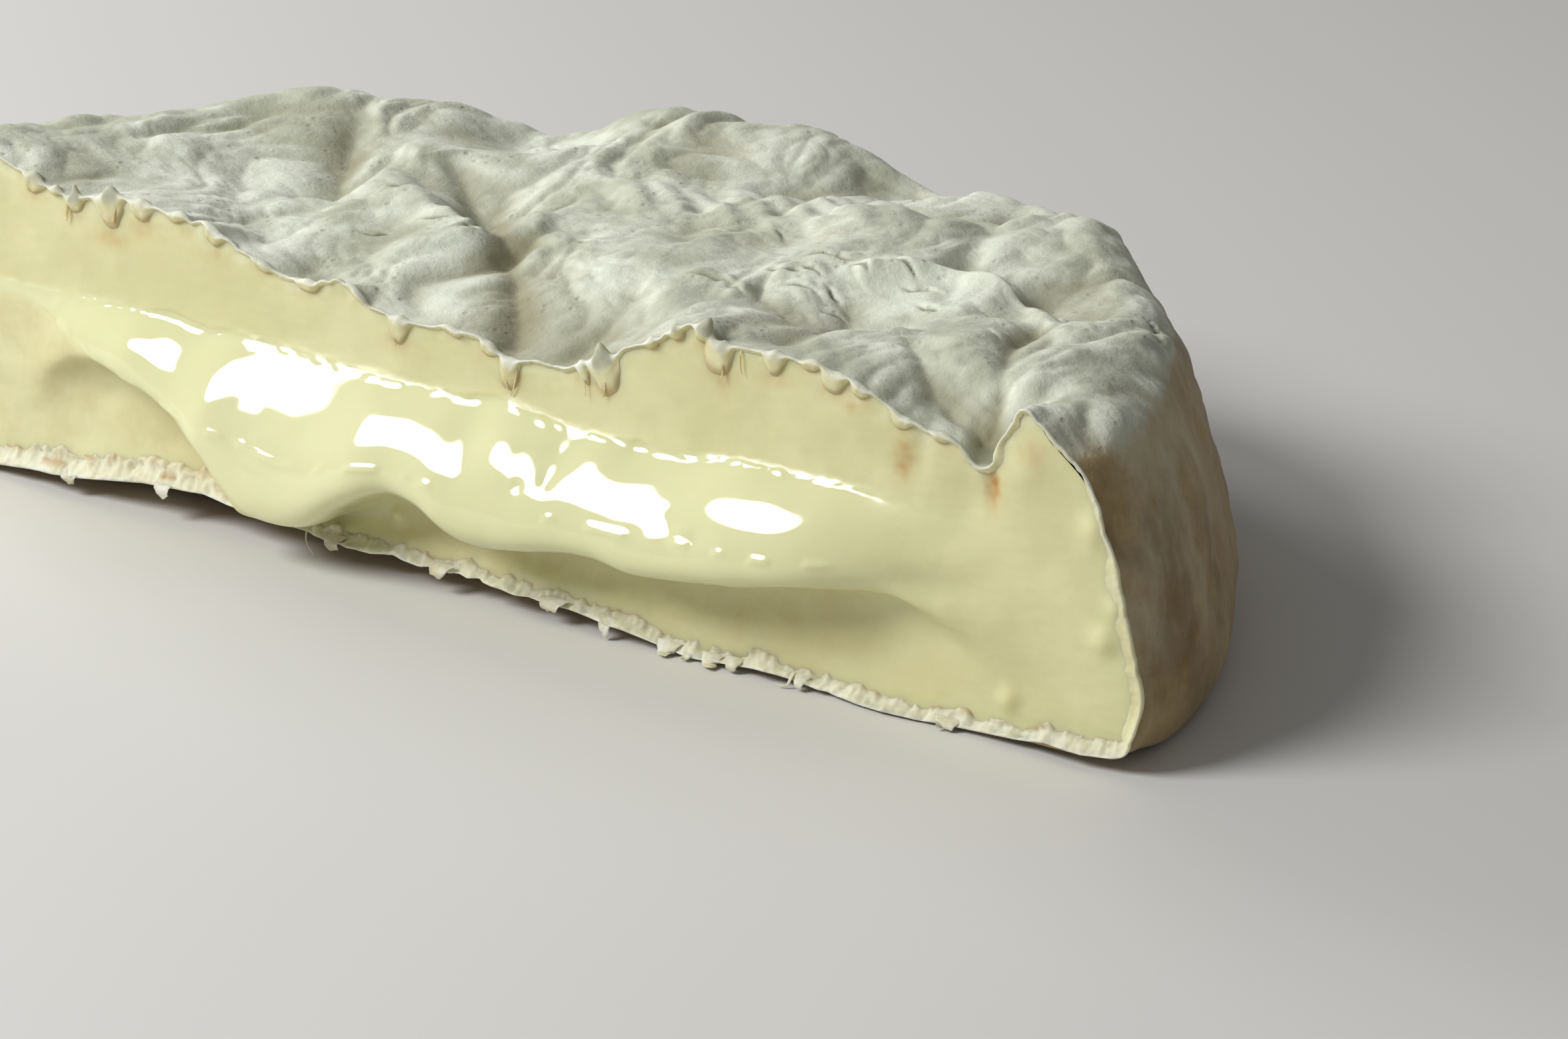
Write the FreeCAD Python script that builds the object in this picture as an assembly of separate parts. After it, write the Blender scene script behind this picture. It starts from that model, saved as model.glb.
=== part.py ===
"""Half of a small, ripe bloomy-rind cheese, cut with one straight knife stroke and left to run.

The wheel stands on its flat base with +Z up. The knife stroke runs along X, the cut face looks towards -Y,
and the origin lies under the middle of the piece's bounding box, on the base. Sizes are in millimetres.

The piece is one solid with three faces:
- the skin, one B-spline surface that climbs from the foot over the slumped side and the rim to the middle
  of the upper face, with the folds and hollows that a ripe bloomy rind has
- the flat base
- the cut face, one B-spline surface with the rind's proud edges, the firm paste below the upper rind, the
  fat lip of running paste that hangs over the lower half, and the recess under that lip
"""
import FreeCAD, Part

import math
import os

# --- driving sizes ------------------------------------------------------------------------------------
HEIGHT = 27.6  # base to the mean level of the upper face
BELLY_RADIUS = 69.6  # the widest level of the slumped side
BELLY_HEIGHT = 6.0
RIM_INSET = 8.6  # from the belly in to where the upper face turns over into the side
FOOT_INSET = 2.2  # from the belly in to the edge of the base
CUT_OFFSET = 2.6  # the knife passes this far in front of the wheel's middle

RIM_DROP = 1.4  # how far the rim lies below the upper face
RIND_THICKNESS = 1.3
RIND_LIP = 0.7  # the cut rind stands this far proud of the paste
LIP_REACH = 6.0  # running paste, out from the cut face
LIP_FULL_DEPTH = 11.0  # a lip at least this deep reaches all the way out, and a thinner one less far
LIP_FADE = 22.0  # length over which the lip dies out at the right-hand end
LIP_END = 3.0  # from the rim in to where nothing has run, at both ends
HOLLOW_DEPTH = 1.7  # under the lip
EDGE_SPREAD = 8.0  # how far back from the knife the cut edge's own ups and downs reach

RIM_RADIUS = BELLY_RADIUS - RIM_INSET
FOOT_RADIUS = BELLY_RADIUS - FOOT_INSET

# Hollows (positive) and swells (negative) of the upper face: share of the rim radius, degrees, depth, spread.
# Angles are counted from +X towards the back of the piece.
HOLLOWS = [
    (0.90, 176, -3.4, 13.0),
    (0.92, 160, -1.8, 10.0),
    (0.90, 140, -3.0, 11.0),
    (0.92, 127, -1.2, 6.0),
    (0.88, 118, 3.4, 6.5),
    (0.90, 102, -2.2, 9.0),
    (0.92, 89, -1.4, 6.0),
    (0.93, 77, 3.2, 7.5),
    (0.95, 48, -1.4, 8.0),
    (0.10, 300, 3.0, 13.0),
    (0.38, 170, 1.3, 8.0),
    (0.47, 2, -1.7, 8.5),
    (0.47, 118, 2.0, 6.5),
    (0.75, 84, 1.3, 5.0),
    (0.66, 60, -1.2, 7.0),
    (0.83, 32, 1.6, 5.5),
    (0.60, 24, 1.5, 6.5),
    (0.35, 60, -1.3, 7.0),
    (0.62, 150, 1.4, 7.5),
    (0.30, 125, -1.0, 6.5),
    (0.78, 12, -1.0, 5.0),
]
# Upper rind along the cut: place as a share of the rim radius, height above the mean level.
CUT_EDGE = [
    (-1.00, 2.9), (-0.82, 3.5), (-0.73, 2.5), (-0.67, 1.2), (-0.52, 1.7), (-0.37, -0.2), (-0.24, -1.7),
    (-0.15, -1.5), (-0.06, -3.0), (0.02, -2.6), (0.14, -3.6), (0.29, -1.9), (0.32, -0.8), (0.43, 1.5),
    (0.51, 0.9), (0.65, 0.9), (0.73, -1.1), (0.86, -2.5), (0.905, -4.1), (0.945, -1.0), (0.99, -0.1),
]
# Running lip: place as a share of the rim radius, height as a share of HEIGHT, for its upper line and lower edge.
LIP_TOP = [
    (-1.18, 0.717), (-0.84, 0.703), (-0.51, 0.710), (-0.25, 0.692), (0.03, 0.667), (0.12, 0.683),
    (0.20, 0.659), (0.31, 0.645), (0.44, 0.648), (0.56, 0.678), (0.98, 0.660),
]
LIP_LOW = [
    (-1.18, 0.640), (-0.85, 0.655), (-0.77, 0.638), (-0.69, 0.572), (-0.59, 0.514), (-0.49, 0.460),
    (-0.42, 0.406), (-0.36, 0.326), (-0.31, 0.225), (-0.27, 0.176), (-0.18, 0.195), (-0.11, 0.288),
    (-0.04, 0.344), (0.02, 0.333), (0.09, 0.266), (0.15, 0.256), (0.26, 0.298), (0.32, 0.308),
    (0.39, 0.292), (0.50, 0.319), (0.66, 0.373), (0.98, 0.400),
]
# Section of the lip from below: share of the reach, share of the lip's depth above its lower edge.
LIP_SECTION = [
    (0.30, -0.04), (0.86, -0.02), (1.08, 0.15), (1.00, 0.36), (0.86, 0.56), (0.52, 0.80), (0.20, 0.95), (0.06, 1.02),
]
HOLLOW_SECTION = [(-0.6, 0.5), (-1.0, 0.85)]  # share of the hollow's depth, share of the lower edge's height
PASTE_LEVELS = [0.3, 0.6]  # share of the way from the lip's upper line to the upper rind
# Side from the belly up: share of the inset to the rim, share of the height.
SIDE_SLOPE = [(0.13, 0.36), (0.27, 0.53), (0.41, 0.66), (0.58, 0.79), (0.76, 0.89)]
# Slow waves of the side: lobes round the wheel, share of the radius, phase in degrees.
SIDE_LOBES = [(2, 0.007, 40), (3, 0.010, 200), (5, 0.007, 75), (9, 0.004, 10)]

# --- how finely the surfaces are laid out -------------------------------------------------------------
SKIN_TURNS = 132  # poles round the wheel
TOP_RINGS = 26  # poles from the rim to the hub
HUB_SHARE = 0.45  # the skin's rows meet this far behind the wheel's middle, clear of the knife
CUT_COLUMNS = 88
DEGREE = 3
TOOL_MARGIN = 14.0  # the knife's block reaches past the wheel by this much
BOX_FINENESS = 0.02  # tolerance of the points that the bounding box is measured on


def lobe(angle):
    """Radius of the wheel at an angle, as a multiple of the plain circle."""
    return 1.0 + sum(size * math.sin(turns * angle + math.radians(phase)) for turns, size, phase in SIDE_LOBES)


def line_value(points, place):
    """Value at a place of a smooth line through a few (place, value) points."""
    if place <= points[0][0]:
        return points[0][1]
    if place >= points[-1][0]:
        return points[-1][1]
    after = next(index for index, point in enumerate(points) if point[0] > place)
    before = after - 1
    (start, low), (end, high) = points[before], points[after]

    def slope(index):
        left, right = points[max(index - 1, 0)], points[min(index + 1, len(points) - 1)]
        return (right[1] - left[1]) / (right[0] - left[0])

    run = end - start
    t = (place - start) / run
    keep = t * t * (3 - 2 * t)
    leave = slope(before) * run * t * (1 - t) * (1 - t)
    arrive = slope(after) * run * t * t * (t - 1)
    return low * (1 - keep) + high * keep + leave + arrive


def hollowed(x, y):
    """Height of the upper face with its hollows and swells alone."""
    level = HEIGHT
    for share, degrees, depth, spread in HOLLOWS:
        hollow_x = share * RIM_RADIUS * math.cos(math.radians(degrees))
        hollow_y = share * RIM_RADIUS * math.sin(math.radians(degrees))
        apart = math.hypot(x - hollow_x, y - hollow_y) / spread
        level -= depth * math.exp(-apart * apart)
    return level


def upper_face(x, y):
    """Height of the rind's upper face at a point of the plan, led to the cut edge's own line near the knife."""
    near = math.exp(-((y + CUT_OFFSET) / EDGE_SPREAD) ** 2)
    edge = HEIGHT + line_value(CUT_EDGE, x / RIM_RADIUS)
    return hollowed(x, y) + near * (edge - hollowed(x, -CUT_OFFSET))


def side_profile():
    """(radius, share of the local height) from the foot to the rim, so that the side follows the folds above."""
    foot_round = 0.6 * FOOT_INSET
    belly = BELLY_HEIGHT / HEIGHT
    return [
        (FOOT_RADIUS, 0.0),
        (FOOT_RADIUS + foot_round, 0.012),
        (BELLY_RADIUS - 0.15 * FOOT_INSET, 0.45 * belly),
        (BELLY_RADIUS, belly),
        *((BELLY_RADIUS - inset * RIM_INSET, share) for inset, share in SIDE_SLOPE),
        (RIM_RADIUS, 1.0 - RIM_DROP / HEIGHT),
    ]


def bspline(rows, around):
    """B-spline surface over rows of poles; its first direction closes on itself if around is true."""
    across = len(rows[0])
    if around:
        u_knots = list(range(len(rows) + 1))
        u_mults = [1] * len(u_knots)
    else:
        u_knots = list(range(len(rows) - DEGREE + 1))
        u_mults = [DEGREE + 1] + [1] * (len(u_knots) - 2) + [DEGREE + 1]
    v_knots = list(range(across - DEGREE + 1))
    v_mults = [DEGREE + 1] + [1] * (len(v_knots) - 2) + [DEGREE + 1]
    surface = Part.BSplineSurface()
    surface.buildFromPolesMultsKnots(rows, u_mults, v_mults, u_knots, v_knots, around, False, DEGREE, DEGREE)
    return surface


def wheel():
    """The whole wheel before the cut, with its middle over the origin."""
    profile = side_profile()
    hub_y = HUB_SHARE * RIM_RADIUS
    rows = []
    for turn in range(SKIN_TURNS):
        angle = 2 * math.pi * turn / SKIN_TURNS
        swell = lobe(angle)
        row = []
        for radius, share in profile:
            radius *= swell
            inner = min(radius, RIM_RADIUS)
            level = share * upper_face(inner * math.cos(angle), inner * math.sin(angle))
            row.append(FreeCAD.Vector(radius * math.cos(angle), radius * math.sin(angle), level))
        rim_x = RIM_RADIUS * swell * math.cos(angle)
        rim_y = RIM_RADIUS * swell * math.sin(angle)
        for ring in range(1, TOP_RINGS + 1):
            share = ring / TOP_RINGS
            x = rim_x * (1 - share)
            y = rim_y * (1 - share) + hub_y * share
            row.append(FreeCAD.Vector(x, y, upper_face(x, y)))
        rows.append(row)
    skin = Part.Face(bspline(rows, True))
    foot = [edge for edge in skin.Edges if edge.BoundBox.ZMax < 0.01 and edge.Length > FOOT_RADIUS]
    base = Part.Face(Part.Wire(foot))
    shell = Part.makeShell([skin, base])
    shell.sewShape()
    solid = Part.Solid(shell)
    solid.fix(0.001, 0.001, 0.001)
    return solid


def smooth_step(value):
    """0 below 0, 1 above 1, and a smooth rise between."""
    value = min(1.0, max(0.0, value))
    return value * value * (3 - 2 * value)


def lip_strength(x):
    """Share of the running lip's full size at a place along the cut: it has not run at either end."""
    end = RIM_RADIUS - LIP_END
    return smooth_step((end - x) / LIP_FADE) * smooth_step((end + x) / LIP_END)


def face_poles(x):
    """Poles of the cut face at a place along the cut, from the base up: distance out of the knife's plane, height."""
    top = upper_face(x, -CUT_OFFSET)
    lip_top = HEIGHT * line_value(LIP_TOP, x / RIM_RADIUS)
    lip_low = HEIGHT * line_value(LIP_LOW, x / RIM_RADIUS)
    deep = lip_top - lip_low
    strength = lip_strength(x) * smooth_step(deep / LIP_FULL_DEPTH)
    reach = LIP_REACH * strength
    hollow = HOLLOW_DEPTH * strength
    lip = [(out * hollow, rise * lip_low) for out, rise in HOLLOW_SECTION]
    lip += [(out * reach, lip_low + rise * deep) for out, rise in LIP_SECTION]
    lip += [(0.0, lip_top + rise * (top - lip_top)) for rise in PASTE_LEVELS]
    firm = [(out, top * (index + 2) / (len(lip) + 3)) for index, (out, _) in enumerate(lip)]
    share = smooth_step(2 * strength)
    middle = [(out, level * (1 - share) + height * share) for (out, level), (_, height) in zip(firm, lip)]
    lower_rind = [(RIND_LIP, 0.0), (RIND_LIP, 0.7 * RIND_THICKNESS), (0.0, 1.5 * RIND_THICKNESS)]
    upper_rind = [(out, top - depth) for out, depth in reversed(lower_rind)]
    return lower_rind + middle + upper_rind


def knife_block():
    """Everything in front of the cut face: a block whose back face is the cut face itself."""
    half = BELLY_RADIUS + TOOL_MARGIN
    low = -TOOL_MARGIN
    high = HEIGHT + TOOL_MARGIN
    rows = []
    for column in range(CUT_COLUMNS + 1):
        x = half * (2 * column / CUT_COLUMNS - 1)
        fade = smooth_step((half - abs(x)) / TOOL_MARGIN * 2)
        face = face_poles(x)
        top = face[-1][1]
        below = [(0.0, low), (RIND_LIP, low / 3)]
        above = [(RIND_LIP, top + (high - top) / 3), (0.0, high)]
        rows.append([FreeCAD.Vector(x, -CUT_OFFSET - fade * out, level) for out, level in below + face + above])
    back = Part.Face(bspline(rows, False))
    front_y = -BELLY_RADIUS - TOOL_MARGIN
    left, right = FreeCAD.Vector(-half, front_y, low), FreeCAD.Vector(half, front_y, low)
    left_top, right_top = FreeCAD.Vector(-half, front_y, high), FreeCAD.Vector(half, front_y, high)
    back_left, back_right = FreeCAD.Vector(-half, -CUT_OFFSET, low), FreeCAD.Vector(half, -CUT_OFFSET, low)
    back_left_top = FreeCAD.Vector(-half, -CUT_OFFSET, high)
    back_right_top = FreeCAD.Vector(half, -CUT_OFFSET, high)

    def flat(*corners):
        return Part.Face(Part.makePolygon(list(corners) + [corners[0]]))

    shell = Part.makeShell([
        back,
        flat(left, right, right_top, left_top),
        flat(left, right, back_right, back_left),
        flat(left_top, right_top, back_right_top, back_left_top),
        flat(left, left_top, back_left_top, back_left),
        flat(right, right_top, back_right_top, back_right),
    ])
    shell.sewShape()
    solid = Part.Solid(shell)
    solid.fix(0.001, 0.001, 0.001)
    if solid.Volume < 0:
        solid.reverse()
    return solid


def corners(solid):
    """Lowest and highest corner of a solid, taken on its surface and not on the poles around it."""
    points, _ = solid.tessellate(BOX_FINENESS)
    low = FreeCAD.Vector(*(min(point[axis] for point in points) for axis in range(3)))
    high = FreeCAD.Vector(*(max(point[axis] for point in points) for axis in range(3)))
    return low, high


def cheese_piece():
    """The wheel behind the knife, moved so that the origin is under the middle of its bounding box."""
    piece = wheel().cut(knife_block())
    solid = max(piece.Solids, key=lambda body: body.Volume)
    low, high = corners(solid)
    solid.translate(FreeCAD.Vector(-(low.x + high.x) / 2, -(low.y + high.y) / 2, -low.z))
    return solid


os.makedirs("parts", exist_ok=True)
cheese = cheese_piece()
cheese.exportStep("parts/cheese.step")
low, high = corners(cheese)
print("cheese", "valid" if cheese.isValid() else "NOT VALID", "faces", len(cheese.Faces),
      "volume cm3 %.1f" % (cheese.Volume / 1000), "size %.1f x %.1f x %.1f" % tuple(high - low))
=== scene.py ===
"""Looks of the half wheel of ripe bloomy-rind cheese.

The visible cheese is made of these pieces, all on the one rigid body:
- rind: the white, crumpled skin over the top, the side and the base
- paste: the cut face, with its firm upper band, the running lip, and the hollow under the lip
- rind_section: the torn thickness of the rind all round the cut
- rind_shreds: flaps and threads that the knife left along the rind

Lengths are in millimetres until a mesh is made, and the wheel's middle is the origin of the shape functions.
"""
import math

import bmesh
import bpy
import numpy as np
from mathutils import Matrix, Vector


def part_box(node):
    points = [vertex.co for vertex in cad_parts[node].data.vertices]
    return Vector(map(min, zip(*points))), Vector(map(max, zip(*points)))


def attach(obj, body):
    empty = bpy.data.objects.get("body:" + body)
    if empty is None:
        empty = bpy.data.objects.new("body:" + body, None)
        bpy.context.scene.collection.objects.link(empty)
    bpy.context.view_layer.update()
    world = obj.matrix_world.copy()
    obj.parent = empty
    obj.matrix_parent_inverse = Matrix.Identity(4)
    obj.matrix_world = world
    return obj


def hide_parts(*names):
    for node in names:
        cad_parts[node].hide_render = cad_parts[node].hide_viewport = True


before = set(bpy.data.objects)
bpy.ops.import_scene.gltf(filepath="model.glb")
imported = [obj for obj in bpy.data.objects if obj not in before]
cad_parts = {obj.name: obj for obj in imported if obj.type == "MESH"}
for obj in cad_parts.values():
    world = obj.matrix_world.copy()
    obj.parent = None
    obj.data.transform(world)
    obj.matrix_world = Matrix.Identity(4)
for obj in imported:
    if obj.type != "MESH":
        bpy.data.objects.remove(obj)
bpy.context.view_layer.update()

MM = 0.001
BODY = "root"
NODE = "cheese"

# --- sizes of the solid ---
HEIGHT = 27.6
BELLY_RADIUS = 69.6
BELLY_HEIGHT = 6.0
RIM_INSET = 8.6
FOOT_INSET = 2.2
CUT_OFFSET = 2.6
RIM_DROP = 1.4
LIP_REACH = 6.0
LIP_FULL_DEPTH = 11.0
LIP_FADE = 22.0
LIP_END = 3.0
HOLLOW_DEPTH = 1.7
EDGE_SPREAD = 8.0
RIM_RADIUS = BELLY_RADIUS - RIM_INSET
FOOT_RADIUS = BELLY_RADIUS - FOOT_INSET
# Hollows (positive) and swells (negative): share of the rim radius, degrees, depth, spread.
HOLLOWS = [
    (0.9, 176, -3.4, 13.0), (0.92, 160, -1.8, 10.0), (0.9, 140, -3.0, 11.0), (0.92, 127, -1.2, 6.0),
    (0.88, 118, 3.4, 6.5), (0.9, 102, -2.2, 9.0), (0.92, 89, -1.4, 6.0), (0.93, 77, 3.2, 7.5),
    (0.95, 48, -1.4, 8.0), (0.1, 300, 3.0, 13.0), (0.38, 170, 1.3, 8.0), (0.47, 2, -1.7, 8.5),
    (0.47, 118, 2.0, 6.5), (0.75, 84, 1.3, 5.0), (0.66, 60, -1.2, 7.0), (0.83, 32, 1.6, 5.5),
    (0.6, 24, 1.5, 6.5), (0.35, 60, -1.3, 7.0), (0.62, 150, 1.4, 7.5), (0.3, 125, -1.0, 6.5),
    (0.78, 12, -1.0, 5.0),
]
# Upper rind along the cut: place as a share of the rim radius, height above the mean level.
CUT_EDGE = [
    (-1.00, 2.9), (-0.82, 3.5), (-0.73, 2.5), (-0.67, 1.2), (-0.52, 1.7), (-0.37, -0.2), (-0.24, -1.7),
    (-0.15, -1.5), (-0.06, -3.0), (0.02, -2.6), (0.14, -3.6), (0.29, -1.9), (0.32, -0.8), (0.43, 1.5),
    (0.51, 0.9), (0.65, 0.9), (0.73, -1.1), (0.8, -2.6), (0.86, -3.1), (0.903, -3.9), (0.922, -1.6),
    (0.945, 0.3), (0.99, 0.9),
]
# Running lip: place as a share of the rim radius, height as a share of HEIGHT.
LIP_TOP = [
    (-1.18, 0.717), (-0.84, 0.703), (-0.51, 0.71), (-0.25, 0.692), (0.03, 0.667), (0.12, 0.683),
    (0.2, 0.659), (0.31, 0.645), (0.44, 0.648), (0.56, 0.678), (0.98, 0.66),
]
LIP_LOW = [
    (-1.18, 0.64), (-0.85, 0.655), (-0.77, 0.638), (-0.69, 0.572), (-0.59, 0.514), (-0.49, 0.46),
    (-0.42, 0.406), (-0.36, 0.315), (-0.31, 0.205), (-0.27, 0.145), (-0.18, 0.155), (-0.11, 0.265),
    (-0.04, 0.344), (0.02, 0.333), (0.09, 0.266), (0.15, 0.256), (0.26, 0.298), (0.32, 0.308),
    (0.39, 0.292), (0.5, 0.319), (0.66, 0.373), (0.98, 0.4),
]
LIP_SECTION = [
    (0.3, -0.04), (0.86, -0.02), (1.08, 0.15), (1.00, 0.36), (0.86, 0.56), (0.52, 0.8), (0.2, 0.95),
    (0.06, 1.02),
]
HOLLOW_SECTION = [(-0.6, 0.5), (-1.0, 0.85)]
PASTE_LEVELS = [0.3, 0.6]
SIDE_SLOPE = [(0.13, 0.36), (0.27, 0.53), (0.41, 0.66), (0.58, 0.79), (0.76, 0.89)]
SIDE_LOBES = [(2, 0.007, 40), (3, 0.010, 200), (5, 0.007, 75), (9, 0.004, 10)]
# How far the base rind's front edge has curled up off the board: place, height.
FOOT_LIFT = [
    (-0.98, 0.2), (-0.85, 0.9), (-0.69, 1.9), (-0.54, 3.0), (-0.39, 3.3), (-0.25, 2.1), (-0.1, 2.1),
    (0.04, 1.9), (0.18, 1.5), (0.31, 1.3), (0.41, 0.1), (0.52, 0.6), (0.62, 0.8), (0.7, 0.0), (0.82, 0.0),
    (0.93, 0.5), (1.05, 1.1),
]
FOOT_CURL = 7.0  # how far back from the cut the base has lifted
LIP_SHARE = 0.6  # share of the height at which the lip lies
CURL_HEIGHT = 5.2  # how far up the cut face the lifted base pushes the paste

# --- how finely the pieces are laid out ---
TOP_COLUMNS = 480  # cells across the wheel's upper face
TOP_ROWS = 300  # cells from the cut to the back
FRONT_ROWS = 14  # cells in front of the cut, which the knife takes away
SIDE_ROWS = 84
BASE_ROWS = 12
FACE_COLUMNS = 640
FACE_ROWS = 190
SECTION_STEP = 0.14  # length along the cut rind

# --- folds of the rind, each a line over the plan: points, depth (+ down), half width ---
FOLDS = [
    ([(46.0, 23.0), (46.6, 17.0), (51.0, 6.0), (54.8, -1.0)], 1.0, 1.2),
    ([(40.5, 9.0), (47.0, 2.0), (53.0, 0.5)], 0.8, 1.2),
    ([(29.2, 17.7), (33.0, 12.7), (32.5, 2.0)], 0.8, 1.5),
    ([(13.6, -5.0), (13.0, 11.0), (10.0, 21.8)], 1.0, 2.0),
    ([(-25.2, 31.7), (-16.0, 26.0), (-10.5, 17.2), (-4.0, 14.0)], 1.6, 2.3),
    ([(9.5, -6.0), (6.0, 2.0), (-3.1, 11.5)], 1.1, 1.8),
    ([(0.0, -5.0), (-6.7, -2.4), (-17.0, 1.0)], 0.7, 1.6),
    ([(34.8, 27.0), (31.6, 35.7), (28.8, 47.0)], 1.0, 1.8),
    ([(-27.0, 15.0), (-30.5, 22.0), (-37.0, 33.0)], 1.2, 2.2),
    ([(13.6, 9.0), (10.6, 17.3), (10.6, 24.0), (15.0, 28.5)], -0.8, 1.5),
    ([(27.5, 21.5), (30.8, 26.2), (37.7, 27.1), (43.2, 25.0), (47.3, 21.5)], -1.2, 1.4),
    ([(-23.2, 19.3), (-17.0, 17.3), (-8.7, 13.7)], -0.8, 1.6),
]
PLEATS = 6  # a comb of narrow parallel folds behind the middle
PLEAT_START = (-9.5, 35.0)
PLEAT_STEP = (4.3, 0.7)
PLEAT_RUN = (10.5, -7.5)
PLEAT_DEPTH = 0.62
PLEAT_WIDTH = 1.25
# Chapped skin on the crests: middle of the crack (x, y), its length, its turn in degrees, depth.
CHAPS = [
    (17.4, 13.6, 5.0, 8, 0.6), (20.8, 12.6, 2.2, -20, 0.35), (21.7, 18.9, 3.4, 20, 0.45),
    (24.0, 19.8, 2.4, -12, 0.4), (23.9, 23.4, 4.6, 15, 0.5), (27.4, 22.4, 2.6, -18, 0.4),
    (25.2, 16.4, 3.0, 12, 0.45), (27.6, 17.6, 2.4, -25, 0.4), (29.6, 15.0, 2.2, 20, 0.35),
    (30.6, 24.6, 3.2, -8, 0.4), (33.6, 22.8, 3.8, 10, 0.45), (36.0, 19.6, 2.6, -15, 0.4),
    (39.5, 27.6, 5.4, -14, 0.45), (44.8, 25.2, 4.2, -30, 0.35), (53.4, 28.2, 3.0, -40, 0.55),
    (54.8, 25.4, 2.4, -55, 0.5), (-12.8, 13.8, 3.6, 14, 0.4), (-8.2, 12.8, 2.4, -10, 0.3),
    (-16.8, 9.8, 2.8, 24, 0.3), (2.2, 16.5, 2.6, 10, 0.3), (10.4, 26.5, 3.0, 20, 0.35),
    (45.5, 14.0, 3.2, -35, 0.35), (37.5, 11.5, 2.6, 30, 0.3),
]

# --- marks of the knife and of ripening ---
# Nubs of torn rind on the upper edge: place along the cut, length down the face, half width, spike above it.
NUBS = [
    (-46.5, 2.0, 1.17, 0.4), (-44.0, 0.8, 0.78, 0.3), (-41.7, 1.4, 1.04, 1.3), (-37.6, 3.2, 1.69, 0.8),
    (-33.6, 2.0, 1.43, 0.3), (-29.4, 1.0, 1.42, 0.2), (-25.0, 1.6, 1.18, 0.2), (-19.5, 1.0, 1.18, 0.2),
    (-14.5, 1.1, 1.42, 0.2), (-9.0, 0.8, 1.18, 0.1), (-4.2, 2.6, 1.06, 0.3), (1.6, 0.9, 1.3, 0.1),
    (5.6, 1.3, 0.94, 0.2), (7.8, 3.0, 0.83, 0.2), (15.2, 2.2, 0.53, 0.2), (17.2, 3.4, 1.36, 1.4),
    (22.4, 0.8, 0.71, 0.3), (24.8, 1.0, 0.83, 0.5), (27.6, 1.4, 0.94, 1.2), (29.4, 2.9, 1.06, 0.4),
    (34.6, 2.1, 1.06, 0.3), (38.2, 1.1, 1.06, 0.1), (40.5, 1.9, 1.18, 0.2), (43.0, 1.2, 0.94, 0.1),
    (47.0, 1.3, 1.06, 0.1), (50.6, 0.9, 1.06, 0.1),
]
# Browned spots on the paste: place, height, half width, half height, strength.
SPOTS = [
    (47.1, 21.9, 0.9, 1.6, 0.8), (55.4, 21.2, 0.8, 1.7, 1.0), (59.0, 25.0, 1.4, 1.2, 0.35),
    (8.2, 22.6, 0.5, 1.4, 0.6), (17.6, 22.8, 0.9, 1.3, 0.7), (-4.0, 22.6, 0.6, 0.9, 0.4),
    (29.6, 25.4, 0.8, 1.4, 0.5), (42.2, 25.5, 0.9, 0.7, 0.4),
]
# Dents (positive) and bumps of the cut face: place, height, half width, half height, depth.
DENTS = [
    (53.2, 19.6, 2.4, 2.6, 0.5), (48.5, 22.6, 1.1, 1.8, 0.25), (55.3, 21.3, 0.7, 1.6, 0.35),
    (58.6, 24.0, 1.8, 2.2, -0.55), (64.6, 19.6, 1.0, 1.3, -0.5), (66.1, 10.6, 1.1, 1.2, -0.6),
    (66.9, 13.4, 0.8, 1.0, -0.35), (57.6, 3.4, 0.9, 1.1, -0.55), (50.5, 12.2, 4.6, 1.6, 0.55),
    (44.0, 11.0, 3.4, 1.2, 0.45), (-5.4, 5.4, 0.9, 0.9, -0.7), (14.5, 14.4, 0.9, 0.9, 0.2),
    (12.0, 13.6, 0.6, 0.5, 0.12), (27.0, 13.6, 1.5, 0.9, 0.2), (30.2, 12.9, 0.9, 0.7, 0.16),
]

# Swells (positive) and dips of the running lip's wet skin: place, height, half width, half height, size.
LIP_SWELLS = [
    (-33.6, 16.8, 2.4, 2.0, 0.32), (-27.0, 17.0, 3.8, 5.0, -0.6), (-8.0, 13.6, 9.0, 3.0, 0.16),
    (5.0, 16.6, 2.3, 3.4, -0.42), (9.2, 16.0, 2.0, 2.0, 0.26), (12.4, 18.2, 2.4, 1.5, 0.2),
    (14.6, 16.2, 1.9, 1.3, -0.24), (18.2, 17.4, 2.2, 1.6, 0.18), (21.4, 18.2, 1.7, 1.5, -0.22),
    (25.2, 15.6, 3.4, 2.2, -0.2), (31.5, 16.6, 5.0, 2.4, 0.18), (41.0, 16.0, 3.0, 2.6, 0.18),
    (48.0, 15.6, 3.0, 3.0, -0.38), (55.0, 15.8, 1.8, 1.3, 0.34),
]

# Fine ripples along the running lip, as (place, height) lines.
RIPPLES = [
    [(-47.4, 17.8), (-41.8, 16.3), (-36.3, 14.3), (-31.7, 13.4), (-29.0, 12.5), (-23.6, 12.1), (-18.3, 11.4),
     (-14.8, 10.6), (-11.4, 10.6), (-2.8, 12.2), (5.6, 11.8)],
    [(12.1, 11.3), (16.9, 11.8), (23.2, 11.8), (27.9, 12.2), (35.5, 12.5), (41.4, 12.9), (50.1, 14.1)],
]

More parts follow.
